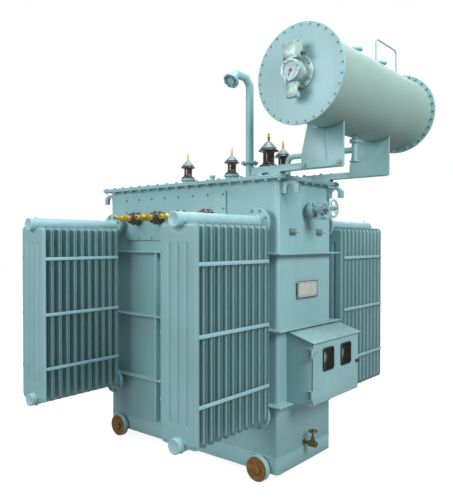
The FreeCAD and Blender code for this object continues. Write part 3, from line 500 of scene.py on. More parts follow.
@dataclass
class Shape:
    """Points and faces gathered from several surfaces, in millimetres."""

    points: list[np.ndarray] = field(default_factory=list)
    faces: list[list[int]] = field(default_factory=list)
    count: int = 0

    def grid(self, rings: np.ndarray, loop: bool = False) -> "Shape":
        """Add a surface whose rings close round, with a face over each end.

        Args:
            rings: rings, points and coordinates.
            loop: whether the last ring joins the first, so that there are no ends.

        Returns:
            The shape itself.
        """
        rows, columns, _ = rings.shape
        index = np.arange(rows * columns).reshape(rows, columns) + self.count
        upper = np.roll(index, -1, axis=0) if loop else index[1:]
        lower = index if loop else index[:-1]
        quads = np.stack([lower, np.roll(lower, -1, axis=1), np.roll(upper, -1, axis=1), upper], axis=-1)
        self.faces += quads.reshape(-1, 4).tolist()
        if not loop:
            self.faces += [index[0, ::-1].tolist(), index[-1].tolist()]
        self.points.append(rings.reshape(-1, 3))
        self.count += rows * columns
        return self

    def lathe(self, profile: Iterable[tuple[float, float]], steps: int, origin: Iterable[float],
              direction: np.ndarray = Z_AXIS, phase: float = 0.0, loop: bool = False) -> "Shape":
        """Add a surface of revolution.

        Args:
            profile: (radius, height) pairs from the bottom up.
            steps: points round the axis.
            origin: where its foot stands.
            direction: where its axis points.
            phase: angle of the first point.
            loop: whether the profile closes on itself, as a ring's does.

        Returns:
            The shape itself.
        """
        return self.grid(placed(turned(profile, steps, phase), origin, direction), loop)

    def many(self, rings: np.ndarray, origins: np.ndarray, direction: np.ndarray) -> "Shape":
        """Add a closed surface once at each origin, its Z along one direction.

        Args:
            rings: the surface about its own origin.
            origins: a place for each copy.
            direction: where the surface's Z points.

        Returns:
            The shape itself.
        """
        for origin in np.atleast_2d(np.asarray(origins, float)):
            self.grid(placed(rings, origin, direction))
        return self

    def mesh(self, name: str, crease: float) -> bpy.types.Mesh:
        """The gathered surfaces as a mesh in metres, doubles merged and faces turned outwards.

        Args:
            name: the mesh's name.
            crease: angle in degrees past which an edge stays sharp.

        Returns:
            The new mesh.
        """
        mesh = bpy.data.meshes.new(name)
        mesh.from_pydata((np.concatenate(self.points) * MM).tolist(), [], self.faces)
        tidy = bmesh.new()
        tidy.from_mesh(mesh)
        bmesh.ops.remove_doubles(tidy, verts=tidy.verts, dist=0.00001)
        bmesh.ops.recalc_face_normals(tidy, faces=tidy.faces)
        tidy.to_mesh(mesh)
        tidy.free()
        smooth_to(mesh, crease)
        return mesh


def smooth_to(mesh: bpy.types.Mesh, crease: float) -> None:
    """Shade a mesh smooth, with edges past the crease angle kept sharp."""
    mesh.polygons.foreach_set("use_smooth", np.ones(len(mesh.polygons), bool))
    mesh.set_sharp_from_angle(angle=math.radians(crease))
    mesh.update()


def spot(node: str) -> tuple[np.ndarray, np.ndarray]:
    """Lowest and highest corner of a CAD node, in millimetres."""
    low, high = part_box(node)
    return np.array(low) / MM, np.array(high) / MM


def middle_of(node: str) -> np.ndarray:
    """Middle of a CAD node's box, in millimetres."""
    low, high = spot(node)
    return (low + high) / 2


def add_piece(name: str, shape: Shape, finish: Finish, body: str = ROOT,
              replaces: Iterable[str] = (), crease: float = 32.0) -> bpy.types.Object:
    """Put a new piece in the scene, riding on its body.

    Args:
        name: the piece's name.
        shape: its surfaces.
        finish: what it is made of.
        body: the CAD body that carries it.
        replaces: CAD nodes that it stands for.
        crease: angle past which an edge stays sharp.

    Returns:
        The new object.
    """
    made = bpy.data.objects.new(name, shape.mesh(name, crease))
    bpy.context.scene.collection.objects.link(made)
    made.data.materials.append(finish.material())
    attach(made, body)
    if replaces:
        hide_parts(*replaces)
    LOG.info("%s: %d faces, %s", name, len(made.data.polygons), finish.title)
    return made


def wear(node: str, finish: Finish) -> None:
    """Give a CAD node that stays its finish."""
    shown = bpy.data.objects[node]
    shown.data.materials.clear()
    shown.data.materials.append(finish.material())
    LOG.info("%s keeps its CAD shape, %s", node, finish.title)


def soften(node: str, finish: Finish, edge_mm: float = 1.6, body: str = ROOT) -> None:
    """Stand a copy with rounded edges in for a CAD node of plate or bar.

    The copy's loose triangles are merged and its flat faces joined, then a bevel of edge_mm
    rounds every edge past 35 degrees, which is what catches light on real plate.

    Args:
        node: the CAD node.
        finish: what it is made of.
        edge_mm: width of the rounded edge.
        body: the CAD body that carries it.
    """
    source = bpy.data.objects[node]
    mesh = source.data.copy()
    mesh.name = f"{node}_softened"
    tidy = bmesh.new()
    tidy.from_mesh(mesh)
    bmesh.ops.remove_doubles(tidy, verts=tidy.verts, dist=0.00002)
    bmesh.ops.dissolve_limit(tidy, angle_limit=math.radians(0.5), verts=tidy.verts, edges=tidy.edges)
    tidy.to_mesh(mesh)
    tidy.free()
    mesh.polygons.foreach_set("use_smooth", np.ones(len(mesh.polygons), bool))
    made = bpy.data.objects.new(mesh.name, mesh)
    bpy.context.scene.collection.objects.link(made)
    mesh.materials.clear()
    mesh.materials.append(finish.material())
    bevel = made.modifiers.new("rounded_edges", "BEVEL")
    bevel.width = edge_mm * MM
    bevel.segments = 2
    bevel.limit_method = "ANGLE"
    bevel.angle_limit = math.radians(35)
    bevel.harden_normals = True
    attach(made, body)
    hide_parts(node)
    LOG.info("%s: rounded edges of %.1f mm, %s", mesh.name, edge_mm, finish.title)


# ------------------------------------------------------------------ fasteners
class Thread(Enum):
    """Bolt sizes in use: width across flats and head height in millimetres."""

    M6 = (10.0, 4.0)
    M8 = (13.0, 5.3)
    M10 = (17.0, 6.4)
    M12 = (19.0, 7.5)
    M16 = (24.0, 10.0)


@dataclass
class Fastener:
    """A hexagon head or nut on a round washer; a nut also shows its stud's end."""

    thread: Thread
    stud_mm: float = 0.0

    def rings(self) -> list[np.ndarray]:
        """Washer, hexagon and stud as closed surfaces standing on Z = 0."""
        flats, height = self.thread.value
        corner = flats / math.sqrt(3)
        washer = turned([(corner * 1.12, -0.5), (corner * 1.12, 1.6)], 12)
        head = turned([(corner, 1.6), (corner, height * 0.85 + 1.6), (corner * 0.84, height + 1.6)], 6)
        stud = turned([(flats * 0.3, height), (flats * 0.3, height + self.stud_mm + 1.0),
                       (flats * 0.22, height + self.stud_mm + 2.6)], 8)
        return [washer, head] + ([stud] if self.stud_mm > 0 else [])

    def fit(self, shape: Shape, places: np.ndarray, direction: np.ndarray) -> Shape:
        """Fit one at each place, its head along a direction."""
        for ring in self.rings():
            shape.many(ring, places, direction)
        return shape

    def ring(self, shape: Shape, centre: Iterable[float], direction: np.ndarray, radius: float,
             count: int, phase: float = 0.0, way: int = 1) -> Shape:
        """Fit a ring of them round a centre.

        Args:
            shape: the shape they are added to.
            centre: the ring's middle.
            direction: the way the ring's axis points.
            radius: the ring's radius.
            count: how many there are.
            phase: angle of the first one.
            way: 1 for heads that face along the direction, -1 for heads that face back.

        Returns:
            The shape.
        """
        return self.fit(shape, circle_of(centre, direction, radius, count, phase), direction * way)


def round_edge(low: Iterable[float], high: Iterable[float], pitches: tuple[float, float],
               inset: float) -> np.ndarray:
    """Places along all four edges of a rectangle, as pairs of coordinates.

    Args:
        low: lowest corner.
        high: highest corner.
        pitches: spacing along the first and the second coordinate.
        inset: distance in from the edge.

    Returns:
        The places, both long edges first.
    """
    low, high = np.asarray(low) + inset, np.asarray(high) - inset
    first = row_of(low[0], high[0], pitches[0])
    second = row_of(low[1], high[1], pitches[1])[1:-1]
    sides = [np.stack([first, np.full_like(first, end)], axis=-1) for end in (low[1], high[1])]
    ends = [np.stack([np.full_like(second, end), second], axis=-1) for end in (low[0], high[0])]
    return np.concatenate(sides + ends)


def circle_of(centre: Iterable[float], direction: np.ndarray, radius: float, count: int,
              phase: float = 0.0) -> np.ndarray:
    """Places evenly round a circle square to a direction."""
    angles = phase + np.arange(count) * 2 * np.pi / count
    ring = np.stack([np.cos(angles), np.sin(angles), np.zeros(count)], axis=-1) * radius
    return placed(ring, centre, direction)


def row_of(start: float, end: float, pitch: float) -> np.ndarray:
    """Evenly spaced values from start to end, as near to a pitch as they divide."""
    return np.linspace(start, end, max(2, round((end - start) / pitch) + 1))


# ------------------------------------------------------------------ tank
@dataclass
class Tank:
    """Tank, base, cover, stiffeners, hooks and the bolts and weld beads that join them."""

    corner_mm: float = 26.0
    bolt_pitch: float = 103.0
    bolt_in: float = 20.0
    bead_mm: float = 4.0
    rings: tuple[str, ...] = ("ring_stiffener_lower", "ring_stiffener_middle", "ring_stiffener_upper")

    def build(self) -> None:
        """Dress the plates and add bolts and beads."""
        edges = {"tank_body": 2.0, "tank_base": 2.0, "tank_cover": 2.0, "curb_flange": 2.0,
                 **dict.fromkeys(self.rings, 1.5), "upright_stiffeners": 1.5, "lifting_hooks": 2.5}
        for node, edge_mm in edges.items():
            soften(node, BODY_ENAMEL, edge_mm)
        self.bolts()
        self.beads()

    def bolts(self) -> None:
        """Bolt heads on the cover, and bare nuts under the curb flange."""
        low, high = spot("tank_cover")
        plan = round_edge(low[:2], high[:2], (self.bolt_pitch, self.bolt_pitch), self.bolt_in)
        heads = Fastener(Thread.M12).fit(Shape(), np.insert(plan, 2, high[2], 1), Z_AXIS)
        add_piece("cover_bolt_heads", heads, BOLT_ENAMEL)
        under = np.insert(plan, 2, spot("curb_flange")[0][2], 1)
        nuts = Fastener(Thread.M12, 3.0).fit(Shape(), under, -Z_AXIS)
        add_piece("cover_bolt_nuts", nuts, BARE_ZINC)

    def beads(self) -> None:
        """Fillet welds round the tank at its base, its curb and both sides of each ring."""
        low, high = spot("tank_body")
        plan = round_rectangle(low[:2], high[:2], self.corner_mm, 7)
        levels = [spot("tank_base")[1][2], spot("curb_flange")[0][2]]
        for ring in self.rings:
            levels += [corner[2] for corner in spot(ring)]
        shape = Shape()
        for z in levels:
            shape.grid(swept(np.insert(plan, 2, z, 1), self.bead_mm, Z_AXIS, 8, True), loop=True)
        add_piece("tank_weld_beads", shape, BODY_ENAMEL)


# ------------------------------------------------------------------ rollers
@dataclass
class Rollers:
    """Four flat rollers: enamelled treads and bare, rusted faces on capped axles."""

    names: tuple[str, ...] = ("roller_left_front", "roller_left_rear", "roller_right_front",
                              "roller_right_rear")
    bore: float = 22.5
    lip: float = 5.0
    rim_in: float = 4.0
    pin_r: float = 22.0
    pin_out: float = 8.0

    @staticmethod
    def stance(name: str) -> tuple[np.ndarray, np.ndarray, float, float]:
        """A roller's middle, the way its face looks, its width and its radius."""
        low, high = spot(name)
        outward = Y_AXIS if low[1] > 0 else -Y_AXIS
        return (low + high) / 2, outward, high[1] - low[1], (high[2] - low[2]) / 2

    def build(self) -> None:
        """Build each roller as a tread and a disc that ride on its own body."""
        for name in self.names:
            centre, outward, width, radius = self.stance(name)
            inner = centre - outward * width / 2
            rim = radius - self.rim_in
            tread = turned([(rim - 1, 1.0), (rim, 0.4), (radius - 1.0, 3.0), (radius, self.lip + 1),
                            (radius, width - self.lip - 1), (radius - 1.0, width - 2.0),
                            (rim, width - 0.4), (rim - 1, width - 1.0)], 96)
            add_piece(f"{name}_tread", Shape().grid(placed(tread, inner, outward), loop=True),
                      BAR_ENAMEL, name)
            face = eased([(self.bore, 3), (self.bore, 0), (rim - 2, 0), (rim, 2), (rim, width - 1),
                          (rim - 1, width), (rim * 0.7, width), (rim * 0.66, width - 1.2),
                          (rim * 0.52, width - 1.2), (rim * 0.48, width), (self.bore, width),
                          (self.bore, width - 3)], 1)
            add_piece(f"{name}_disc", Shape().lathe(face, 96, inner, outward, loop=True), BARE_IRON,
                      name, (name,))
        self.axles()

    def axles(self) -> None:
        """Axle pins with flat, round-rimmed caps."""
        shape = Shape()
        for name in self.names:
            centre, outward, width, _ = self.stance(name)
            start = centre - outward * (width / 2 + self.pin_out)
            reach = width + 2 * self.pin_out
            shape.lathe([(self.pin_r, 0), (self.pin_r, reach)], 40, start, outward)
            cap = eased([(0, reach), (33, reach), (33, reach + 5), (30, reach + 8), (0, reach + 8)], 1)
            shape.lathe(cap, 48, start, outward)
        add_piece("roller_axle_pins", shape, BARE_IRON, ROOT, ("roller_axles",))


# ------------------------------------------------------------------ radiators
@dataclass
class Radiators:
    """Four stacks of pressed, fluted panels between an upper and a lower header."""

    panels: int = 11
    first: float = 150.0
    pitch: float = 64.0
    seam: float = 12.0
    seam_t: float = 3.0
    panel_t: float = 20.0
    rise: float = 11.0
    corner: float = 34.0
    valley_x: tuple[float, ...] = (-66.0, 0.0, 66.0)
    valley_half: float = 9.0
    valley_end: float = 112.0
    header_r: float = 44.5
    flange_r: float = 98.0
    flange_t: float = 14.0
    stub: float = 69.0
    bolt_r: float = 82.0
    header_end: float = 46.0
    tie_heights: tuple[float, ...] = (686.0, 1068.0, 1461.0)

    def panel(self, width: float, low: float, high: float, headers: tuple[float, float]) -> np.ndarray:
        """One face of a panel as height over its flat plan.

        The height rises from the seam to full depth over a smooth step of the distance to the
        rounded outline. Narrow valleys run up between the flutes and stop short of the headers,
        and a shallow ring is pressed round each header.

        Args:
            width: over both seams.
            low: bottom edge.
            high: top edge.
            headers: heights of the two header centres.

        Returns:
            A grid of (across, height, up) points.
        """
        half = width / 2
        ends = np.concatenate([np.linspace(0, 1, 9)[:-1] * 26, np.linspace(26, 150, 17)])
        z = np.concatenate([low + ends, np.linspace(low + 150, high - 150, 7)[1:-1], high - ends[::-1]])
        near = np.array([0.0, 0.018, 0.03])
        u = np.unique(np.round(np.concatenate([
            np.linspace(-1, 1, 29), 1 - (self.seam + np.array([0, 4, 8, 12])) / half,
            (self.seam + np.array([0, 4, 8, 12])) / half - 1,
            np.add.outer(np.array(self.valley_x) / half, np.concatenate([near, -near[1:]])).ravel()]), 4))
        depth = np.minimum(z - low, high - z)
        turn = np.clip(self.corner - depth, 0, self.corner)
        reach = half - (self.corner - np.sqrt(self.corner ** 2 - turn ** 2))
        across = reach[:, None] * u[None, :]
        up = np.broadcast_to(z[:, None], across.shape)
        inner_x = np.abs(across) - (half - self.corner)
        inner_z = np.abs(up - (low + high) / 2) - ((high - low) / 2 - self.corner)
        outside = np.hypot(np.maximum(inner_x, 0), np.maximum(inner_z, 0))
        distance = self.corner - outside - np.minimum(np.maximum(inner_x, inner_z), 0)
        share = np.clip((distance - self.seam) / self.rise, 0, 1)
        swell = share * share * (3 - 2 * share)
        run = np.clip((np.minimum(up - low, high - up) - self.valley_end) / 14, 0, 1)
        gaps = np.abs(across[..., None] - np.array(self.valley_x)) / self.valley_half
        valley = np.max(np.clip(1 - gaps, 0, 1) ** 0.7, axis=-1) * run
        dish = sum(np.exp(-((np.hypot(across, up - z0) - 66) / 7) ** 2) for z0 in headers)
        full, flat = self.panel_t / 2, self.seam_t / 2
        height = flat + (full - flat) * swell * (1 - 0.78 * valley) * (1 - 0.28 * np.clip(dish, 0, 1))
        return np.stack([across, height, up], axis=-1)

    def stack(self, name: str) -> None:
        """Build one radiator's panels, headers, ties and joints."""
        low, high = spot(f"{name}_panels")
        wall_side = 1 if low[1] > 0 else -1
        wall = self.wall_at(wall_side)
        x = (low[0] + high[0]) / 2
        headers = self.header_heights()
        face = self.panel(high[0] - low[0], low[2], high[2], headers)
        places = wall + wall_side * (self.first + self.pitch * np.arange(self.panels))
        shape = Shape()
        for y in places:
            self.close_panel(shape, face, x, y)
        add_piece(f"{name}_pressed_panels", shape, RADIATOR_ENAMEL, ROOT,
                  (f"{name}_panels",), 50.0)
        self.header_tubes(name, x, wall, wall_side, headers)

    @staticmethod
    def close_panel(shape: Shape, face: np.ndarray, x: float, y: float) -> None:
        """Add a panel at a place: both faces joined all round their edge.

        The grid's rows go up one face and, in reverse order across, down the other, so each
        row is a closed ring about the panel's middle plane.
        """
        front = face + np.array([x, y, 0.0])
        back = (face * np.array([1.0, -1.0, 1.0]) + np.array([x, y, 0.0]))[:, ::-1]
        shape.grid(np.concatenate([front, back], axis=1))

    def header_heights(self) -> tuple[float, float]:
        """Heights of the two header centres, from the flanges at the node's ends."""
        low, high = spot("radiator_stubs")
        return low[2] + self.flange_r, high[2] - self.flange_r

    @staticmethod
    def wall_at(side: int) -> float:
        """Y of the tank's front wall for a side of -1, or of its rear wall for 1."""
        low, high = spot("tank_body")
        return high[1] if side > 0 else low[1]

    def header_tubes(self, name: str, x: float, wall: float, side: int,
                     headers: tuple[float, float]) -> None:
        """Headers with a weld collar at each panel, a flange and a flat end cap; and tie bars."""
        along = Y_AXIS * side
        last = self.first + self.pitch * (self.panels - 1)
        length = last + self.header_end
        places = self.first + self.pitch * np.arange(self.panels)
        near = np.array([6.0, 9.0, 11.0, 13.0, 15.0, 18.0])
        reach = (places[:, None] + np.concatenate([-near[::-1], near])).ravel()
        collar = np.sum(np.exp(-((np.abs(reach[:, None] - places) - 12) / 3.5) ** 2), axis=1)
        radius = self.header_r - 0.8 + 0.8 * np.clip(collar, 0, 1)
        tube = np.stack([radius, reach], axis=-1)
        joint = self.stub + self.flange_t
        flange = rim(self.flange_r, self.stub, joint, 2, 2)
        flange += [(self.header_r + 5, joint), (self.header_r, self.stub + 19)]
        cap = [(self.header_r, length - 7), (self.header_r, length - 2), (self.header_r - 2.5, length),
               (self.header_r - 8, length), (self.header_r - 10, length - 1.6), (0.5, length - 1.0)]
        shape, bolts = Shape(), Shape()
        for z in headers:
            start = np.array([x, wall, z])
            profile = np.concatenate([flange, tube, cap])
            shape.lathe(profile, 64, start, along)
            Fastener(Thread.M12).ring(bolts, start + along * joint, along, self.bolt_r, 8, 0.39)
            Fastener(Thread.M12, 5.0).ring(bolts, start + along * (self.stub - self.flange_t), along,
                                           self.bolt_r, 8, 0.39, -1)
        low, high = spot(f"{name}_panels")
        ties = spot(f"{name}_headers")
        tie_t = low[0] - ties[0][0] if ties[0][0] < low[0] else 5.0
        for z in self.tie_heights:
            for edge_low, edge_high in ((low[0] - tie_t, low[0]), (high[0], high[0] + tie_t)):
                y = sorted((wall + side * (self.first - 2), wall + side * (last + 2)))
                shape.grid(soft_block((edge_low, y[0], z - 11), (edge_high, y[1], z + 11), 1.5))
        add_piece(f"{name}_header_tubes", shape, BAR_ENAMEL, ROOT,
                  (f"{name}_headers",), 40.0)
        add_piece(f"{name}_flange_bolts", bolts, BOLT_ENAMEL)
        self.plugs(name, x, wall + side * (length - 60), headers)

    def plugs(self, name: str, x: float, y: float, headers: tuple[float, float]) -> None:
        """Air-release plug on the upper header and drain plug under the lower one."""
        plug = Fastener(Thread.M12)
        shape = plug.fit(Shape(), np.array([[x, y, headers[1] + self.header_r - 2]]), Z_AXIS)
        plug.fit(shape, np.array([[x, y, headers[0] - self.header_r + 2]]), -Z_AXIS)
        add_piece(f"{name}_plugs", shape, BAR_ENAMEL)

    def build(self) -> None:
        """Build all four, and dress the tank's stubs."""
        for end in ("left", "right"):
            for row in ("front", "rear"):
                self.stack(f"radiator_{end}_{row}")
        self.stubs()

    def stubs(self) -> None:
        """Tank stubs: tube, gasketed flange and the weld at the wall."""
        shape, gaskets = Shape(), Shape()
        for row, side in (("front", -1), ("rear", 1)):
            wall = self.wall_at(side)
            for end in ("left", "right"):
                x = middle_of(f"radiator_{end}_{row}_panels")[0]
                for z in self.header_heights():
                    tube = [(self.header_r + 6, 0), (self.header_r, 7), (self.header_r, self.stub - 19),
                            (self.header_r + 5, self.stub - 14), (self.flange_r - 2, self.stub - 14),
                            (self.flange_r, self.stub - 12), (self.flange_r, self.stub - 3),
                            (self.flange_r - 2, self.stub - 1.5)]
                    shape.lathe(tube, 64, (x, wall, z), Y_AXIS * side)
                    seal = turned([(self.flange_r - 5, self.stub - 2),
                                   (self.flange_r - 5, self.stub + 1)], 48)
                    gaskets.grid(placed(seal, (x, wall, z), Y_AXIS * side))
        add_piece("radiator_stub_tubes", shape, RADIATOR_ENAMEL, ROOT,
                  ("radiator_stubs",), 40.0)
        add_piece("radiator_gaskets", gaskets, GASKET_RUBBER)


# ------------------------------------------------------------------ low-voltage side
@dataclass
class LowVoltageSide:
    """Bolted terminal plate with four brown bushings and heavy brass stems."""

    terminals: int = 4
    bolt_pitches: tuple[float, float] = (146.0, 105.0)
    bolt_in: float = 20.0

    def places(self) -> np.ndarray:
        """Foot of each bushing on the plate."""
        low, high = spot("lv_stems")
        plate = spot("lv_terminal_plate")
        xs = np.linspace(low[0] + 26, high[0] - 26, self.terminals)
        return np.stack([xs, np.full_like(xs, plate[0][1]), np.full_like(xs, (low[2] + high[2]) / 2)],
                        axis=-1)

    def build(self) -> None:
        """Dress the plate, then build porcelains, stems and bolts."""
        soften("lv_terminal_plate", BODY_ENAMEL, 1.2)
        porcelains, stems = Shape(), Shape()
        shed = eased([(17.2, 0), (50, 0), (51.5, 5), (50, 12), (41, 21), (39, 30), (40, 40), (50, 48),
                      (51.5, 54), (48, 60), (40, 68), (38.5, 84), (36, 94), (30, 96), (17.2, 96)], 2)
        stem = [(17, 60), (17, 96), (25, 96.6), (25, 99), (17, 100), (17, 114), (22.5, 116), (24, 118),
                (24, 144), (22.5, 146), (17, 147), (17, 183), (16, 184.5), (17, 186), (17, 233), (14.5, 236)]
        for place in self.places():
            porcelains.lathe(shed, 56, place, -Y_AXIS, loop=True)
            stems.lathe(stem, 40, place, -Y_AXIS)
            for start, end in ((97, 112), (150, 164), (170, 182)):
                nut = rim(29, start + 1.5, end - 1.5, 3, 1.5)
                stems.lathe(nut, 6, place, -Y_AXIS, 0.3)
            for start, end in ((146, 150), (164, 170)):
                stems.lathe([(29, start), (29, end)], 36, place, -Y_AXIS)
            flag = soft_block((-20, -9, 186), (20, 9, 236), 3)
            stems.grid(placed(flag, place, -Y_AXIS))
        add_piece("lv_glazed_porcelains", porcelains, BROWN_GLAZE, ROOT,
                  ("lv_porcelains",), 50.0)
        add_piece("lv_brass_stems", stems, TURNED_BRASS, ROOT, ("lv_stems",))
        self.bolts()

    def bolts(self) -> None:
        """Bolts along all four edges of the plate."""
        low, high = spot("lv_terminal_plate")
        plan = round_edge(low[[0, 2]], high[[0, 2]], self.bolt_pitches, self.bolt_in)
        shape = Fastener(Thread.M8).fit(Shape(), np.insert(plan, 1, low[1], 1), -Y_AXIS)
        add_piece("lv_plate_bolts", shape, BOLT_ENAMEL)


# ------------------------------------------------------------------ bushings on the cover
@dataclass
class HighVoltageBushings:
    """Four bushings on conical turrets: brown body under one wide shed and a metal cap."""

    turret_h: float = 94.0
    flange_z: float = 82.0
    small_places: tuple[tuple[float, float], ...] = ((-375.0, 100.0), (99.0, 100.0), (580.0, 100.0))
    large_place: tuple[float, float] = (588.0, -90.0)
    large_scale: float = 1.2
    large_extra: float = 20.0

    def places(self) -> list[tuple[np.ndarray, float, float]]:
        """Foot, scale and extra body length of each, the large one last."""
        cover = spot("tank_cover")
        middle_x = (cover[0][0] + cover[1][0]) / 2
        sizes = [(place, 1.0, 0.0) for place in self.small_places]
        sizes.append((self.large_place, self.large_scale, self.large_extra))
        return [(np.array([middle_x + x, y, cover[1][2]]), scale, extra) for (x, y), scale, extra in sizes]

    def build(self) -> None:
        """Build turrets, porcelains, caps, studs and their bolts."""
        turrets, bodies, caps, studs, bolts = Shape(), Shape(), Shape(), Shape(), Shape()
        for foot, scale, extra in self.places():
            self.turret(turrets, bolts, foot, scale)
            top = foot + Z_AXIS * self.turret_h
            body, shed, length = 34.0 * scale, 61.0 * scale, 92.0 + extra
            skirt, cap = 56.0 * scale, 49.0 * scale
            profile = eased([(0.5, 0), (skirt, 0), (skirt, 9), (skirt * 0.9, 14), (body * 1.1, 26),
                             (body, 34), (body * 0.95, 48), (body, 60), (body * 0.96, length - 16),
                             (body * 1.08, length - 5), (shed * 0.8, length - 1), (shed, length + 1.5),
                             (shed, length + 5.5), (shed * 0.93, length + 10), (cap + 1, length + 16),
                             (0.5, length + 16)], 2)
            bodies.lathe(profile, 64, top)
            cap_base = top + Z_AXIS * (length + 16)
            self.terminal(caps, studs, cap_base, scale)
        add_piece("bushing_turret_cones", turrets, BODY_ENAMEL, ROOT,
                  ("bushing_turrets",), 40.0)
        add_piece("bushing_turret_bolts", bolts, BOLT_ENAMEL)
        add_piece("bushing_glazed_bodies", bodies, BROWN_GLAZE, ROOT,
                  ("bushing_porcelains",), 60.0)
        add_piece("bushing_metal_caps", caps, CAP_METAL, ROOT, ("bushing_terminals",))
        add_piece("bushing_brass_studs", studs, TURNED_BRASS)

    def turret(self, shape: Shape, bolts: Shape, foot: np.ndarray, scale: float) -> None:
        """A cone with a flange on top that the bushing is clamped to."""
        base, neck, plate = 59.0 * scale, 46.0 * scale, 61.0 * scale
        profile = [(base + 4, 0), (base, 5), (neck, 80), (neck + 2, 82), (plate - 1, 82), (plate, 83),
                   (plate, 93), (plate - 1, 94)]
        shape.lathe(profile, 64, foot)
        under = foot + Z_AXIS * self.flange_z
        Fastener(Thread.M6, 2.0).ring(bolts, under, Z_AXIS, (neck + plate) / 2, 8, 0.3, -1)

    def terminal(self, caps: Shape, studs: Shape, base: np.ndarray, scale: float) -> None:
        """A squat metal cone, a threaded stud and two hexagon nuts."""
        top, wide, neck = 44.0 * scale, 49.0 * scale, 12.0 * scale
        cap = eased([(0.5, 0), (wide, 0), (wide, 5), (wide * 0.94, 9), (wide * 0.6, top * 0.62),
                     (neck * 1.25, top - 3), (neck, top), (0.5, top)], 1)
        caps.lathe(cap, 56, base)
        stud = 6.0 * scale
        reach = np.linspace(top - 1, top + 60, 46)
        thread = np.stack([np.where(np.arange(46) % 2 == 0, stud, stud * 0.88), reach], axis=-1)
        studs.lathe(thread, 20, base)
        for start in (10.0, 24.0):
            studs.lathe(rim(stud * 1.6, top + start, top + start + 10, stud * 0.15, 2), 6, base)


# ------------------------------------------------------------------ vent
@dataclass
class Vent:
    """Explosion vent: a mitred pipe with a flanged joint and a diaphragm mouth."""

    radius: float = 27.0
    mouth_out: float = 208.0
    mouth_down: float = 60.0
    mitre: float = 47.0
    joint_r: float = 59.0
    joint_t: float = 5.8
    joint_up: tuple[float, float] = (104.2, 110.4)
    bolt_r: float = 45.0

    def build(self) -> None:
        """Sweep the pipe, then add its flanges, bolts and mouth."""
        low, high = spot("vent_pipe")
        foot = np.array([(low[0] + high[0]) / 2, high[1] - self.joint_r, spot("tank_cover")[1][2]])
        x, y, cover = foot
        top = high[2] - self.radius
        mouth = np.array([x, y - self.mouth_out, top - self.mouth_down])
        path = np.array([[x, y, cover], [x, y, top - self.mitre], [x, y - self.mitre, top],
                         [x, mouth[1] + self.mouth_down, top], mouth])
        shape, bolts = Shape(), Shape()
        shape.grid(swept(path, self.radius, X_AXIS, 48))
        down = unit(mouth - path[3])
        ring = [(self.radius + 1, -18), (self.radius + 3, -16), *rim(53, -16, 0, 2, 2), (37, 0),
                (35, -2), (35, -9.6), (0.5, -9.6)]
        shape.lathe(ring, 64, mouth, down)
        disc = [(self.radius, 0), *rim(self.joint_r, 0, self.joint_t, 2, 1.2), (self.radius, self.joint_t)]
        for up in self.joint_up:
            shape.lathe(disc, 64, foot + Z_AXIS * up)
        shape.lathe([(self.radius + 7, 0), (self.radius, 8)], 48, foot)
        add_piece("vent_mitred_pipe", shape, BODY_ENAMEL, ROOT, ("vent_pipe",), 30.0)
        lower, upper = foot + Z_AXIS * self.joint_up[0], foot + Z_AXIS * (self.joint_up[1] + self.joint_t)
        Fastener(Thread.M8).ring(bolts, upper, Z_AXIS, self.bolt_r, 6)
        Fastener(Thread.M8, 3.0).ring(bolts, lower, Z_AXIS, self.bolt_r, 6, way=-1)
        Fastener(Thread.M6).ring(bolts, mouth, down, self.bolt_r, 8)
        add_piece("vent_bolts", bolts, BOLT_ENAMEL)
        # The diaphragm's near-black tone is partly painted shade inside the mouth
        disc = Shape().lathe([(34, -9), (34, -7.5), (30, -6.5), (0.5, -5)], 48, mouth, down)
        add_piece("vent_diaphragm", disc, DIAPHRAGM_AND_SHADE)


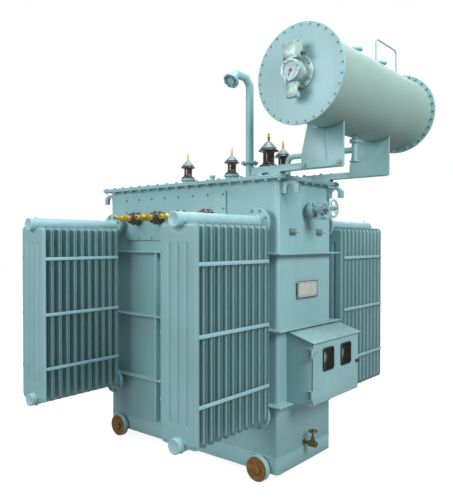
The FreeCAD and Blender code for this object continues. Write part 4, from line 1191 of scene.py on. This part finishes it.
# ------------------------------------------------------------------ conservator
@dataclass
class Conservator:
    """The oil conservator: rolled shell, bolted end plates, saddles, beams, caps and rail."""

    rim_bolts: int = 30
    rim_bolt_in: float = 14.0
    beam_y: float = 318.0
    beam_feet_x: tuple[float, float] = (555.0, 411.0)
    pipe_r: float = 19.0
    pipe_level: float = 2178.0
    drip_z: float = 2100.0
    joint_zs: tuple[float, float] = (2224.5, 2232.7)
    disc_t: float = 7.8
    pipe_bolt_r: float = 26.0

    def axis(self) -> tuple[float, float, float]:
        """X and Z of the shell's axis, and its radius."""
        low, high = spot("conservator_shell")
        return (low[0] + high[0]) / 2, (low[2] + high[2]) / 2, (high[2] - low[2]) / 2

    def build(self) -> None:
        """Build the shell and everything on it."""
        self.shell()
        self.plates()
        for node in ("conservator_saddles", "conservator_beams"):
            soften(node, BODY_ENAMEL, 1.5)
        self.saddle_bolts()
        self.caps()
        self.rail()
        self.pipe()

    def shell(self) -> None:
        """Rolled shell with a low welding rib at its middle and at both ends."""
        x, z, radius = self.axis()
        low, high = spot("conservator_shell")
        length = high[1] - low[1]
        near = np.linspace(0, 15, 7)
        reach = np.unique(np.concatenate([near, np.linspace(15, length - 15, 24), length / 2 - near,
                                          length / 2 + near, length - near]))
        beads = np.exp(-((reach - length / 2) / 5.0) ** 2)
        ends = np.exp(-((reach - 3) / 4.0) ** 2) + np.exp(-((reach - length + 3) / 4.0) ** 2)
        profile = np.stack([radius - 1.5 + 1.5 * np.clip(beads, 0, 1) + 4.0 * ends, reach], axis=-1)
        shape = Shape().lathe(profile, 144, (x, low[1], z), Y_AXIS)
        # The shell's enamel is darker and greyer than the plate's: painted shade
        add_piece("conservator_rolled_shell", shape, SHADED_SHELL_ENAMEL, ROOT,
                  ("conservator_shell",))

    def plates(self) -> None:
        """Flat end plates with a rounded rim and a ring of small bolts."""
        x, z, _ = self.axis()
        bolts = Shape()
        for end, outward in (("front", -Y_AXIS), ("rear", Y_AXIS)):
            low, high = spot(f"conservator_{end}_plate")
            thick, radius = high[1] - low[1], (high[2] - low[2]) / 2
            start = np.array([x, high[1] if end == "front" else low[1], z])
            profile = [(0.5, 0), *rim(radius, 0, thick, 1.5, 1.5), (radius * 0.8, thick),
                       (radius * 0.5, thick), (0.5, thick)]
            shape = Shape().lathe(profile, 160, start, outward)
            add_piece(f"conservator_{end}_end_plate", shape, BODY_ENAMEL, ROOT,
                      (f"conservator_{end}_plate",))
            ring = (outward, radius - self.rim_bolt_in, self.rim_bolts, 0.05)
            Fastener(Thread.M6).ring(bolts, start + outward * thick, *ring)
            Fastener(Thread.M8, 3.0).ring(bolts, start, *ring, -1)
        add_piece("conservator_rim_bolts", bolts, BOLT_ENAMEL)

    def saddle_bolts(self) -> None:
        """Bolts through the saddles' and the beams' feet, and a rib up the front of each saddle."""
        low, high = spot("conservator_saddles")
        beams = spot("conservator_beams")
        shape = Shape()
        fronts = (low[1], -low[1] - 2 * (beams[1][1] - self.beam_y) - 12.0)
        for y in fronts:
            places = np.array([[low[0] + 26, y, beams[0][2] + 42], [high[0] - 26, y, beams[0][2] + 42]])
            Fastener(Thread.M16).fit(shape, places, -Y_AXIS)
        for y in (-self.beam_y, self.beam_y):
            for x in self.beam_feet_x:
                places = np.array([[x - 32, y - 18, beams[1][2]], [x + 32, y + 18, beams[1][2]]])
                Fastener(Thread.M12).fit(shape, places, Z_AXIS)
        add_piece("saddle_bolts", shape, BOLT_ENAMEL)
        x, z, radius = self.axis()
        ribs = Shape()
        for y in fronts:
            ribs.grid(soft_block((x - 3.5, y - 4, beams[1][2] + 4), (x + 3.5, y + 1, z - radius - 1), 1.2))
        add_piece("saddle_front_ribs", ribs, BODY_ENAMEL)

    def caps(self) -> None:
        """Filling caps: a neck under a stepped cap with a domed top."""
        x, z, radius = self.axis()
        low, high = spot("conservator_caps")
        shape = Shape()
        for y in (low[1] + 37, high[1] - 37):
            profile = eased([(24, -8), (20, 0), (20, 50), (31, 53), (37, 55), (37, 66), (35, 68),
                             (30, 74), (22, 83), (0.5, 84)], 1)
            shape.lathe(profile, 56, (x, y, z + radius))
        add_piece("conservator_turned_caps", shape, BODY_ENAMEL, ROOT,
                  ("conservator_caps",), 40.0)

    def rail(self) -> None:
        """Bent guard rail of round bar over the caps."""
        x, z, radius = self.axis()
        low, high = spot("conservator_rail")
        top = high[2] - 6
        corners = [(x, low[1] + 6, z + radius - 4), (x, low[1] + 6, top), (x, high[1] - 6, top),
                   (x, high[1] - 6, z + radius - 4)]
        shape = Shape().grid(swept(bent(corners, 30.0), 6.0, X_AXIS, 20))
        add_piece("conservator_bent_rail", shape, BODY_ENAMEL, ROOT, ("conservator_rail",))

    def pipe(self) -> None:
        """Pipe from the cover to the conservator, with flanges and a drip leg."""
        x, z, radius = self.axis()
        low, _ = spot("conservator_pipe")
        cover = spot("tank_cover")[1][2]
        start_x, level = low[0] + 33.0, self.pipe_level
        shape, bolts = Shape(), Shape()
        run = bent([(start_x, 0, cover), (start_x, 0, level), (x, 0, level)], 45.6, 10)
        shape.grid(swept(run, self.pipe_r, Y_AXIS, 36))
        leg = [(self.pipe_r, 0), (self.pipe_r, z - radius - self.drip_z + 8)]
        shape.lathe(leg, 36, (x, 0, self.drip_z))
        disc = [(10, 0), (32, 0), (33, 1), (33, 6.6), (32, self.disc_t), (10, self.disc_t)]
        for px, pz in (*((x, up) for up in self.joint_zs), (start_x, cover + 0.2),
                       (start_x, cover + 8.2), (x, self.drip_z)):
            shape.lathe(disc, 48, (px, 0, pz))
        for place in ((x, 0, self.joint_zs[1] + self.disc_t), (start_x, 0, cover + 16)):
            Fastener(Thread.M8).ring(bolts, place, Z_AXIS, self.pipe_bolt_r, 4, 0.785)
        add_piece("conservator_oil_pipe", shape, BODY_ENAMEL, ROOT, ("conservator_pipe",))
        add_piece("conservator_pipe_bolts", bolts, BOLT_ENAMEL)


# ------------------------------------------------------------------ level gauge
@dataclass
class LevelGauge:
    """Magnetic oil-level gauge: cast body, bezel, scale, needle and two switch boxes."""

    needle_deg: float = 157.0
    body_r: float = 97.0
    box_gap: float = 64.0

    def build(self) -> None:
        """Build the gauge from the end plate outwards."""
        low, high = spot("gauge_body")
        x, z = (low[0] + high[0]) / 2, (low[2] + high[2]) / 2
        plate = high[1]
        out = -Y_AXIS
        centre = np.array([x, plate, z])
        body = eased([(0.5, 0), (96, 0), (97, 2), (97, 11), (95, 13.5), (66, 14), (54, 17), (51, 22),
                      (51, 38), (56, 41), (63, 43), (64, 47), (64, 80), (62, 84), (0.5, 84)], 1)
        shape = Shape().lathe(body, 72, centre, out)
        add_piece("gauge_cast_body", shape, CAST_ALLOY, ROOT, ("gauge_body",), 40.0)
        bezel = eased([(45.8, 0), (60, 0), (61, 2), (61, 11), (59.5, 13.6), (54, 14), (47.5, 13),
                       (45.8, 9)], 1)
        ring = Shape().lathe(bezel, 72, centre + out * 84, out, loop=True)
        add_piece("gauge_turned_bezel", ring, CAST_ALLOY, ROOT, ("gauge_bezel",), 40.0)
        self.dial(centre + out * 84, out)
        bolts = Fastener(Thread.M8).ring(Shape(), centre + out * 13.5, out, 82, 6, 0.52)
        Fastener(Thread.M6).ring(bolts, centre + out * 97, out, 55.5, 3, 0.2)
        add_piece("gauge_bolts", bolts, BOLT_ENAMEL)
        self.boxes()

    def dial(self, seat: np.ndarray, out: np.ndarray) -> None:
        """White dial with a printed scale, and a tapered needle on a boss under glass."""
        disc = Shape().lathe([(0.5, 0), (45.5, 0), (45.5, 2.6), (0.5, 2.6)], 64, seat, out)
        add_piece("gauge_enamel_dial", disc, DIAL_CARD, ROOT, ("gauge_dial",))
        marks = Shape()
        for k, angle in enumerate(np.linspace(-135, 135, 19)):
            long = 9.0 if k % 3 == 0 else 5.0
            bar = soft_block((-0.7, 39 - long, 2.6), (0.7, 39, 3.0), 0.15, 2)
            marks.grid(placed(spun(bar, angle), seat, out))
        width = np.array([1.6, 4.2, 3.6, 1.6])
        reach = np.array([-12.0, -2.0, 12.0, 34.0])
        corners = np.array([[-1, -1], [1, -1], [1, 1], [-1, 1]])
        needle = np.stack([width[:, None] * corners[:, 0] * 0.9, np.repeat(reach[:, None], 4, 1),
                           5.4 + 0.6 * np.repeat(corners[None, :, 1], 4, 0)], axis=-1)
        marks.grid(placed(spun(needle, self.needle_deg), seat, out))
        marks.lathe([(9, 2.6), (9, 7), (7, 8.6), (0.5, 9)], 28, seat, out)
        add_piece("gauge_needle_and_scale", marks, DARK_INK)
        glass = Shape().lathe([(0.5, 10.0), (45.7, 10.0), (45.7, 11.6), (0.5, 11.6)], 64, seat, out)
        add_piece("gauge_cover_glass", glass, CLEAR_PANE)

    def boxes(self) -> None:
        """Switch boxes above and below: rounded castings with raised, screwed lids and glands."""
        low, high = spot("gauge_terminal_boxes")
        x = (low[0] + high[0]) / 2
        body = spot("gauge_body")
        shape, lids, screws, glands = Shape(), Shape(), Shape(), Shape()
        depth_y = (low[1] + high[1]) / 2
        upper = ((x - 53, depth_y - 23, body[0][2] + self.body_r + self.box_gap), (x + 53, depth_y + 23,
                                                                                   high[2]))
        lower = ((x - 36, depth_y - 19, low[2]), (x + 36, depth_y + 19,
                                                  body[1][2] - self.body_r - self.box_gap))
        for a, b in (upper, lower):
            shape.grid(soft_block(a, b, 3.0))
            lid_low = (a[0] + 9, a[1] - 4, a[2] + 11)
            lid_high = (b[0] - 9, a[1] + 3, b[2] - 11)
            lids.grid(soft_block(lid_low, lid_high, 1.5))
            panel_low = (lid_low[0] + 7, lid_low[1] - 1.6, lid_low[2] + 7)
            panel_high = (lid_high[0] - 7, lid_low[1] + 1, lid_high[2] - 7)
            lids.grid(soft_block(panel_low, panel_high, 0.8))
            corners = np.array([[px, a[1], pz] for px in (a[0] + 6.5, b[0] - 6.5)
                                for pz in (a[2] + 7, b[2] - 7)])
            Fastener(Thread.M6).fit(screws, corners, -Y_AXIS)
        for end, way in ((upper, -1), (lower, 1)):
            neck_z = end[0][2] if way < 0 else end[1][2]
            shape.lathe([(15, -6), (15, 14)], 32, (x, depth_y, neck_z), Z_AXIS * way)
        for (a, b), lift in ((upper, 24.0), (lower, 46.0)):
            gland = eased([(10, -2), (12, 0), (12, 9), (10, 10), (10, 14), (12, 15), (12, 21), (8, 25),
                           (0.5, 25)], 1)
            glands.lathe(gland, 6, (b[0], depth_y + 4, a[2] + lift), X_AXIS)
        add_piece("gauge_switch_boxes", shape, CAST_ALLOY, ROOT, ("gauge_terminal_boxes",))
        add_piece("gauge_box_lids", lids, CAST_ALLOY)
        add_piece("gauge_box_screws", screws, BRIGHT_STEEL)
        add_piece("gauge_cable_glands", glands, GLAND_NYLON)


# ------------------------------------------------------------------ valves
@dataclass
class Valves:
    """Filter valve and drain valve on the end wall, each with a spoked handwheel."""

    def handwheel(self, name: str, finish: Finish, bar: float, hub: float) -> None:
        """A cast wheel: scalloped rim, four spokes that bow outwards and a bored hub.

        Args:
            name: CAD node and body of the wheel.
            finish: what it is made of.
            bar: thickness of the rim.
            hub: bore of the hub.
        """
        low, high = spot(name)
        centre = (low + high) / 2
        size = high - low
        axis = X_AXIS if size[0] < size[2] * 0.6 else Z_AXIS
        outer = max(size) / 2
        ring_r = outer - bar / 2
        angles = np.arange(72) * 2 * np.pi / 72
        scallop = ring_r + 0.25 * bar * 0.3 * (np.cos(angles * 12) - 1)
        path = np.stack([scallop * np.cos(angles), scallop * np.sin(angles), np.zeros(72)], axis=-1)
        shape = Shape()
        shape.grid(placed(swept(path, bar / 2, Z_AXIS, 14, True), centre, axis), loop=True)
        reach = bar * 0.8
        boss = [(hub, -reach), (bar * 1.0, -reach), (bar * 1.1, -reach + 1.5), (bar * 1.1, reach - 1.5),
                (bar * 1.0, reach), (hub, reach)]
        shape.lathe(boss, 32, centre, axis, loop=True)
        for turn in range(4):
            way = math.pi / 4 + turn * math.pi / 2
            out = np.array([math.cos(way), math.sin(way), 0.0])
            start, end = out * bar * 0.9, out * ring_r
            mid = (start + end) / 2 + Z_AXIS * bar * 0.08
            spoke = swept(np.array([start, mid, end]), bar * 0.34, np.cross(out, Z_AXIS), 12)
            shape.grid(placed(spoke, centre, axis))
        add_piece(f"{name}_casting", shape, finish, name, (name,), 40.0)

    def build(self) -> None:
        """Build both valves and both wheels."""
        self.filter()
        self.drain()
        self.handwheel("filter_handwheel", BAR_ENAMEL, 13.0, 8.5)
        self.handwheel("drain_handwheel", VALVE_BRASS, 9.0, 6.5)

    def filter(self) -> None:
        """Filter valve: flanged stub, globe body, blanked outlet, yoke, gland and stem."""
        low, _ = spot("filter_valve")
        wheel = middle_of("filter_handwheel")
        origin = np.array([low[0], 0.0, wheel[2]])
        shape, bolts, bright = Shape(), Shape(), Shape()
        run = [(34, 0), (24, 7), (24, 40), (30, 42), (58, 42.6), (59, 44), (59, 54.6), (58, 55.6),
               (58, 57.2), (59, 58.2), (59, 69), (58, 70.4), (34, 70.6), (33, 75), (36, 80), (36, 104),
               (38, 114), (38, 122), (36, 130), (33, 139), (38, 142), (38, 149), (26, 150.4),
               (24, 152), (24, 164), (14, 165), (14, 176), (11, 178), (0.5, 178)]
        shape.lathe(run, 56, origin, X_AXIS)
        drop = [(22, 0), (24, 30), (24, 54), (26, 55.6), (46, 56), (47, 57.4), (47, 61.6), (46, 62.6),
                (46, 63.4), (47, 64.4), (47, 68.6), (46, 70), (0.5, 70)]
        shape.lathe(drop, 48, origin + X_AXIS * 110.4, -Z_AXIS)
        bright.lathe([(8, 164), (8, 234)], 24, origin, X_AXIS)
        bright.lathe(rim(13, 225, 232.5, 1, 1), 6, origin, X_AXIS)
        for side in (-1, 1):
            arm = np.array([[144, side * 31, 0], [162, side * 31, 0], [184, side * 22, 0],
                            [193, side * 9, 0]], float) + origin
            shape.grid(swept(arm, 5.0, Z_AXIS, 12))
        shape.lathe(rim(15, 187, 197, 6, 1), 28, origin, X_AXIS)
        Fastener(Thread.M10).ring(bolts, origin + X_AXIS * 70.4, X_AXIS, 47, 4, 0.785)
        Fastener(Thread.M10, 3.0).ring(bolts, origin + X_AXIS * 42.5, X_AXIS, 47, 4, 0.785, -1)
        Fastener(Thread.M6).ring(bolts, origin + X_AXIS * 149.4, X_AXIS, 31, 4, 0.4)
        add_piece("filter_valve_casting", shape, VALVE_ENAMEL, ROOT, ("filter_valve",), 35.0)
        add_piece("filter_valve_bolts", bolts, BOLT_ENAMEL)
        add_piece("filter_valve_stem", bright, BRIGHT_STEEL)

    def drain(self) -> None:
        """Drain valve: brass body with hexagon ends, bonnet, packing nut and stem."""
        low, _ = spot("drain_valve")
        wheel = middle_of("drain_handwheel")
        origin = np.array([low[0], wheel[1], low[2] + 22.0])
        shape = Shape()
        run = [(22, 0), (13, 4), (13, 36), (17, 38)]
        shape.lathe(run, 36, origin, X_AXIS)
        globe = eased([(14, 42), (19, 46), (21, 54), (22, 66), (22, 74), (21, 84), (18, 92), (9.2, 97),
                       (9.2, 80), (0.5, 80)], 1)
        shape.lathe(globe, 48, origin, X_AXIS)
        for start, end in ((38, 48), (86, 98)):
            hexagon = [(9.2, start), *rim(21.5, start, end, 1.5, 1.5), (9.2, end)]
            shape.lathe(hexagon, 6, origin, X_AXIS, loop=True)
        up = origin + X_AXIS * 70
        bonnet = [(18, 8), (18, 20), (13, 24), (13, 34), (15, 35), (15, 43), (9, 45), (9, 52), (6, 53),
                  (6, 102), (5, 103)]
        shape.lathe(bonnet, 36, up)
        for start, size in ((26, 17), (44, 12)):
            shape.lathe(rim(size, start, start + 8, 1, 1), 6, up)
        add_piece("drain_valve_casting", shape, VALVE_BRASS, ROOT, ("drain_valve",), 35.0)


# ------------------------------------------------------------------ plates on the end wall
@dataclass
class EndWallPlates:
    """Blank name plate on standoffs, and two cable lugs."""

    rivet_in: tuple[float, float] = (20.8, 13.9)

    def build(self) -> None:
        """Build the plate with its border and rivets, and dress the lugs."""
        low, high = spot("nameplate")
        face_x = high[0]
        back = face_x - 3.0
        shape = Shape().grid(soft_block((back, low[1], low[2]), (face_x, high[1], high[2]), 1.2))
        corners = [(y, z) for y in (low[1] + self.rivet_in[0], high[1] - self.rivet_in[0])
                   for z in (low[2] + self.rivet_in[1], high[2] - self.rivet_in[1])]
        for y, z in corners:
            shape.lathe([(6, 0), (6, 14)], 20, (low[0], y, z), X_AXIS)
        add_piece("nameplate_enamelled", shape, WHITE_ENAMEL, ROOT, ("nameplate",))
        lines = Shape()
        for inset, width in ((0.5, 6.0), (15.0, 1.8)):
            a, b = low + inset, high - inset
            bars = (((a[1], a[2]), (b[1], a[2] + width)), ((a[1], b[2] - width), (b[1], b[2])),
                    ((a[1], a[2]), (a[1] + width, b[2])), ((b[1] - width, a[2]), (b[1], b[2])))
            for first, second in bars:
                lines.grid(soft_block((face_x - 0.6, *first), (face_x + 0.35, *second), 0.2, 2))
        add_piece("nameplate_border", lines, RED_INK)
        rivets = Shape()
        places = np.array([[face_x, y, z] for y, z in corners])
        rivets.many(turned(eased([(4.5, 0), (4.2, 1.4), (2, 2.6), (0.3, 2.8)], 1), 16), places, X_AXIS)
        add_piece("nameplate_rivets", rivets, BRIGHT_STEEL)
        soften("cable_lugs", BOLT_ENAMEL, 1.2)


# ------------------------------------------------------------------ control box
@dataclass
class ControlBox:
    """Marshalling box with a sloped roof, a hinged door, two windows and dials behind them."""

    body: str = "control_door"
    window_half: float = 68.5
    dial_r: float = 52.0
    needle_degs: tuple[float, float] = (40.0, -30.0)

    def build(self) -> None:
        """Dress the sheet metal, then build panes, gaskets, dials and knob."""
        for node in ("control_box", "control_box_roof"):
            soften(node, BODY_ENAMEL, 1.2)
        soften("control_door", BODY_ENAMEL, 1.2, self.body)
        soften("door_hinge_pins", BODY_ENAMEL, 0.6)
        wear("instrument_plate", INNER_PAINT)
        self.windows()
        self.dials()
        self.knob()

    def window_places(self) -> tuple[np.ndarray, float, float]:
        """Y of the two windows, their half width, and the height of their middle."""
        low, high = spot("door_windows")
        half = self.window_half
        return np.array([low[1] + half, high[1] - half]), half, (low[2] + high[2]) / 2

    def windows(self) -> None:
        """Panes, each in an inner and an outer ring of round-cornered rubber gasket."""
        low, high = spot("door_windows")
        face = spot("control_door")[1][0]
        ys, half, z = self.window_places()
        tall = (high[2] - low[2]) / 2
        panes, gaskets = Shape(), Shape()
        for y in ys:
            panes.grid(soft_block((low[0], y - half, z - tall), (high[0], y + half, z + tall), 0.5, 2))
            for grow, corner, back, bar in ((-1.0, 16.0, 0.5, 4.5), (3.0, 18.0, 2.0, 3.0)):
                reach = np.array([half + grow, tall + grow])
                plan = round_rectangle((y, z) - reach, (y, z) + reach, corner, 6)
                gaskets.grid(swept(np.insert(plan, 0, face - back, 1), bar, X_AXIS, 10, True), loop=True)
        add_piece("door_tinted_panes", panes, PANE, self.body, ("door_windows",))
        add_piece("door_window_gaskets", gaskets, GASKET_RUBBER, self.body)

    def dials(self) -> None:
        """Dial thermometers: dark case, pale face, ticks and a needle."""
        low, high = spot("instrument_dials")
        ys, _, z = self.window_places()
        depth = high[0] - low[0]
        cases, faces, marks = Shape(), Shape(), Shape()
        size = self.dial_r
        for y, turn in zip(ys, self.needle_degs):
            seat = np.array([low[0], y, z])
            case = eased([(0.5, 0), (size, 0), (size, depth - 3), (size - 2, depth), (size - 6, depth),
                          (size - 7, depth - 4), (0.5, depth - 4)], 1)
            cases.lathe(case, 56, seat, X_AXIS)
            faces.lathe([(0.5, depth - 4), (size - 14, depth - 4), (size - 14, depth - 3.2),
                         (0.5, depth - 3.2)], 48, seat, X_AXIS)
            for angle in np.linspace(-130, 130, 14):
                bar = soft_block((-0.7, size - 24, depth - 3.2), (0.7, size - 17, depth - 2.8), 0.15, 2)
                marks.grid(placed(spun(bar, angle), seat, X_AXIS))
            needle = soft_block((-1.2, -6, depth - 2.8), (1.2, size - 22, depth - 2.0), 0.3, 2)
            marks.grid(placed(spun(needle, turn), seat, X_AXIS))
        add_piece("dial_cases", cases, GLAND_NYLON, ROOT, ("instrument_dials",))
        add_piece("dial_faces", faces, DIAL_CARD)
        add_piece("dial_marks", marks, DARK_INK)

    def knob(self) -> None:
        """Turned black knob with a narrow shank."""
        low, high = spot("door_knob")
        centre = (low + high) / 2
        reach = high[0] - low[0]
        profile = eased([(0.5, 0), (8, 0), (8, reach * 0.35), (10, reach * 0.45), (13, reach * 0.55),
                         (13, reach * 0.8), (11, reach), (0.5, reach)], 1)
        shape = Shape().lathe(profile, 36, (low[0], centre[1], centre[2]), X_AXIS)
        add_piece("door_turned_knob", shape, KNOB_PHENOLIC, self.body, ("door_knob",), 50.0)


# ------------------------------------------------------------------ small fittings
@dataclass
class CoverFittings:
    """Oil filling stub on the cover and its cap."""

    def build(self) -> None:
        """Build the stub and its cap as one turned shape."""
        low, high = spot("filling_stub")
        centre = (low + high) / 2
        profile = eased([(0.5, 0), (23, 0), (23, 7), (18, 9), (17, 12), (17, 80), (22, 82), (23, 84),
                         (23, 96), (20, 100), (0.5, 100)], 1)
        shape = Shape().lathe(profile, 48, (centre[0], centre[1], low[2]))
        add_piece("filling_stub_turned", shape, BODY_ENAMEL, ROOT, ("filling_stub",), 40.0)


# ------------------------------------------------------------------ studio
@dataclass
class Studio:
    """Pale floor, soft light from all round and a camera at standing height."""

    lens_mm: float = 40.9
    camera_mm: tuple[float, float, float] = (2668.96, -3374.39, 1583.07)
    yaw: float = 0.69316
    pitch: float = -0.01481
    floor_half: float = 30000.0
    floor_t: float = 6.0
    floor_white: float = 0.9
    floor_glow: float = 0.06
    sky_light: float = 0.31

    def build(self) -> None:
        """Set the floor, the sky, four soft lights and the camera."""
        self.floor()
        self.sky()
        self.light("key", (6200.0, -1400.0, 5000.0), 3.0, 378.0)
        self.light("fill", (-1600.0, -6400.0, 3600.0), 3.6, 262.0)
        self.light("rim", (-1500.0, 5200.0, 4600.0), 4.0, 90.0)
        self.light("top", (900.0, -600.0, 6800.0), 4.0, 240.0)
        self.camera()

    @staticmethod
    def seen_or_lit(tree: bpy.types.NodeTree, lit: float, seen: float) -> bpy.types.NodeSocket:
        """A strength with one value for the light it sheds and another for how it looks."""
        path = add_node(tree, "ShaderNodeLightPath")
        return add_node(tree, "ShaderNodeMapRange", {
            "Value": path.outputs["Is Camera Ray"], "To Min": lit, "To Max": seen}).outputs["Result"]

    def floor(self) -> None:
        """A wide level floor under the rollers."""
        finish = Finish("matt_studio_floor", "#8C8C8A", "#888886", 900.0, 12.0, 0.02, 0.9)
        corners = np.array([[-1, -1, 0], [1, -1, 0], [1, 1, 0], [-1, 1, 0]]) * self.floor_half
        shape = Shape().grid(np.stack([corners - Z_AXIS * self.floor_t, corners]))
        floor = bpy.data.objects.new("studio_floor", shape.mesh("studio_floor", 30.0))
        bpy.context.scene.collection.objects.link(floor)
        floor.data.materials.append(finish.material())
        tree = floor.data.materials[0].node_tree
        shader = tree.nodes["Principled BSDF"]
        shader.inputs["Emission Color"].default_value = linear("#FFFFFF")
        tree.links.new(self.seen_or_lit(tree, self.floor_glow, self.floor_white),
                       shader.inputs["Emission Strength"])

    def sky(self) -> None:
        """Even pale light from the whole sky, which itself shows as plain white."""
        world = bpy.data.worlds.new("studio_sky")
        world.use_nodes = True
        tree = world.node_tree
        background = tree.nodes["Background"]
        background.inputs["Color"].default_value = linear("#FFFFFF")
        tree.links.new(self.seen_or_lit(tree, self.sky_light, 1.0), background.inputs["Strength"])
        bpy.context.scene.world = world
        bpy.context.scene.view_settings.view_transform = "Standard"

    def light(self, name: str, place_mm: tuple[float, float, float], size: float, power: float) -> None:
        """A large soft light aimed at the middle of the object.

        Args:
            name: the light's name.
            place_mm: where it stands.
            size: side of its square face in metres.
            power: its power in watts.
        """
        data = bpy.data.lights.new(name, "AREA")
        data.size = size
        data.energy = power
        lamp = bpy.data.objects.new(name, data)
        lamp.location = Vector(place_mm) * MM
        aim = Vector((0.0, 0.0, 1.2)) - lamp.location
        lamp.rotation_euler = aim.to_track_quat("-Z", "Y").to_euler()
        bpy.context.scene.collection.objects.link(lamp)

    def camera(self) -> None:
        """A level camera in front of the near corner."""
        data = bpy.data.cameras.new("camera")
        data.lens = self.lens_mm
        data.sensor_width = 36.0
        camera = bpy.data.objects.new("camera", data)
        camera.location = Vector(self.camera_mm) * MM
        camera.rotation_euler = (math.pi / 2 + self.pitch, 0.0, self.yaw)
        bpy.context.scene.collection.objects.link(camera)
        bpy.context.scene.camera = camera


def main() -> None:
    """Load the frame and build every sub-assembly."""
    logging.basicConfig(level=logging.INFO, format="%(name)s: %(message)s")
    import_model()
    Studio().build()
    for assembly in (Tank(), Rollers(), Radiators(), LowVoltageSide(), HighVoltageBushings(), Vent(),
                     Conservator(), LevelGauge(), Valves(), EndWallPlates(), ControlBox(),
                     CoverFittings()):
        LOG.info("building %s", type(assembly).__name__)
        assembly.build()


if __name__ == "__main__":
    main()
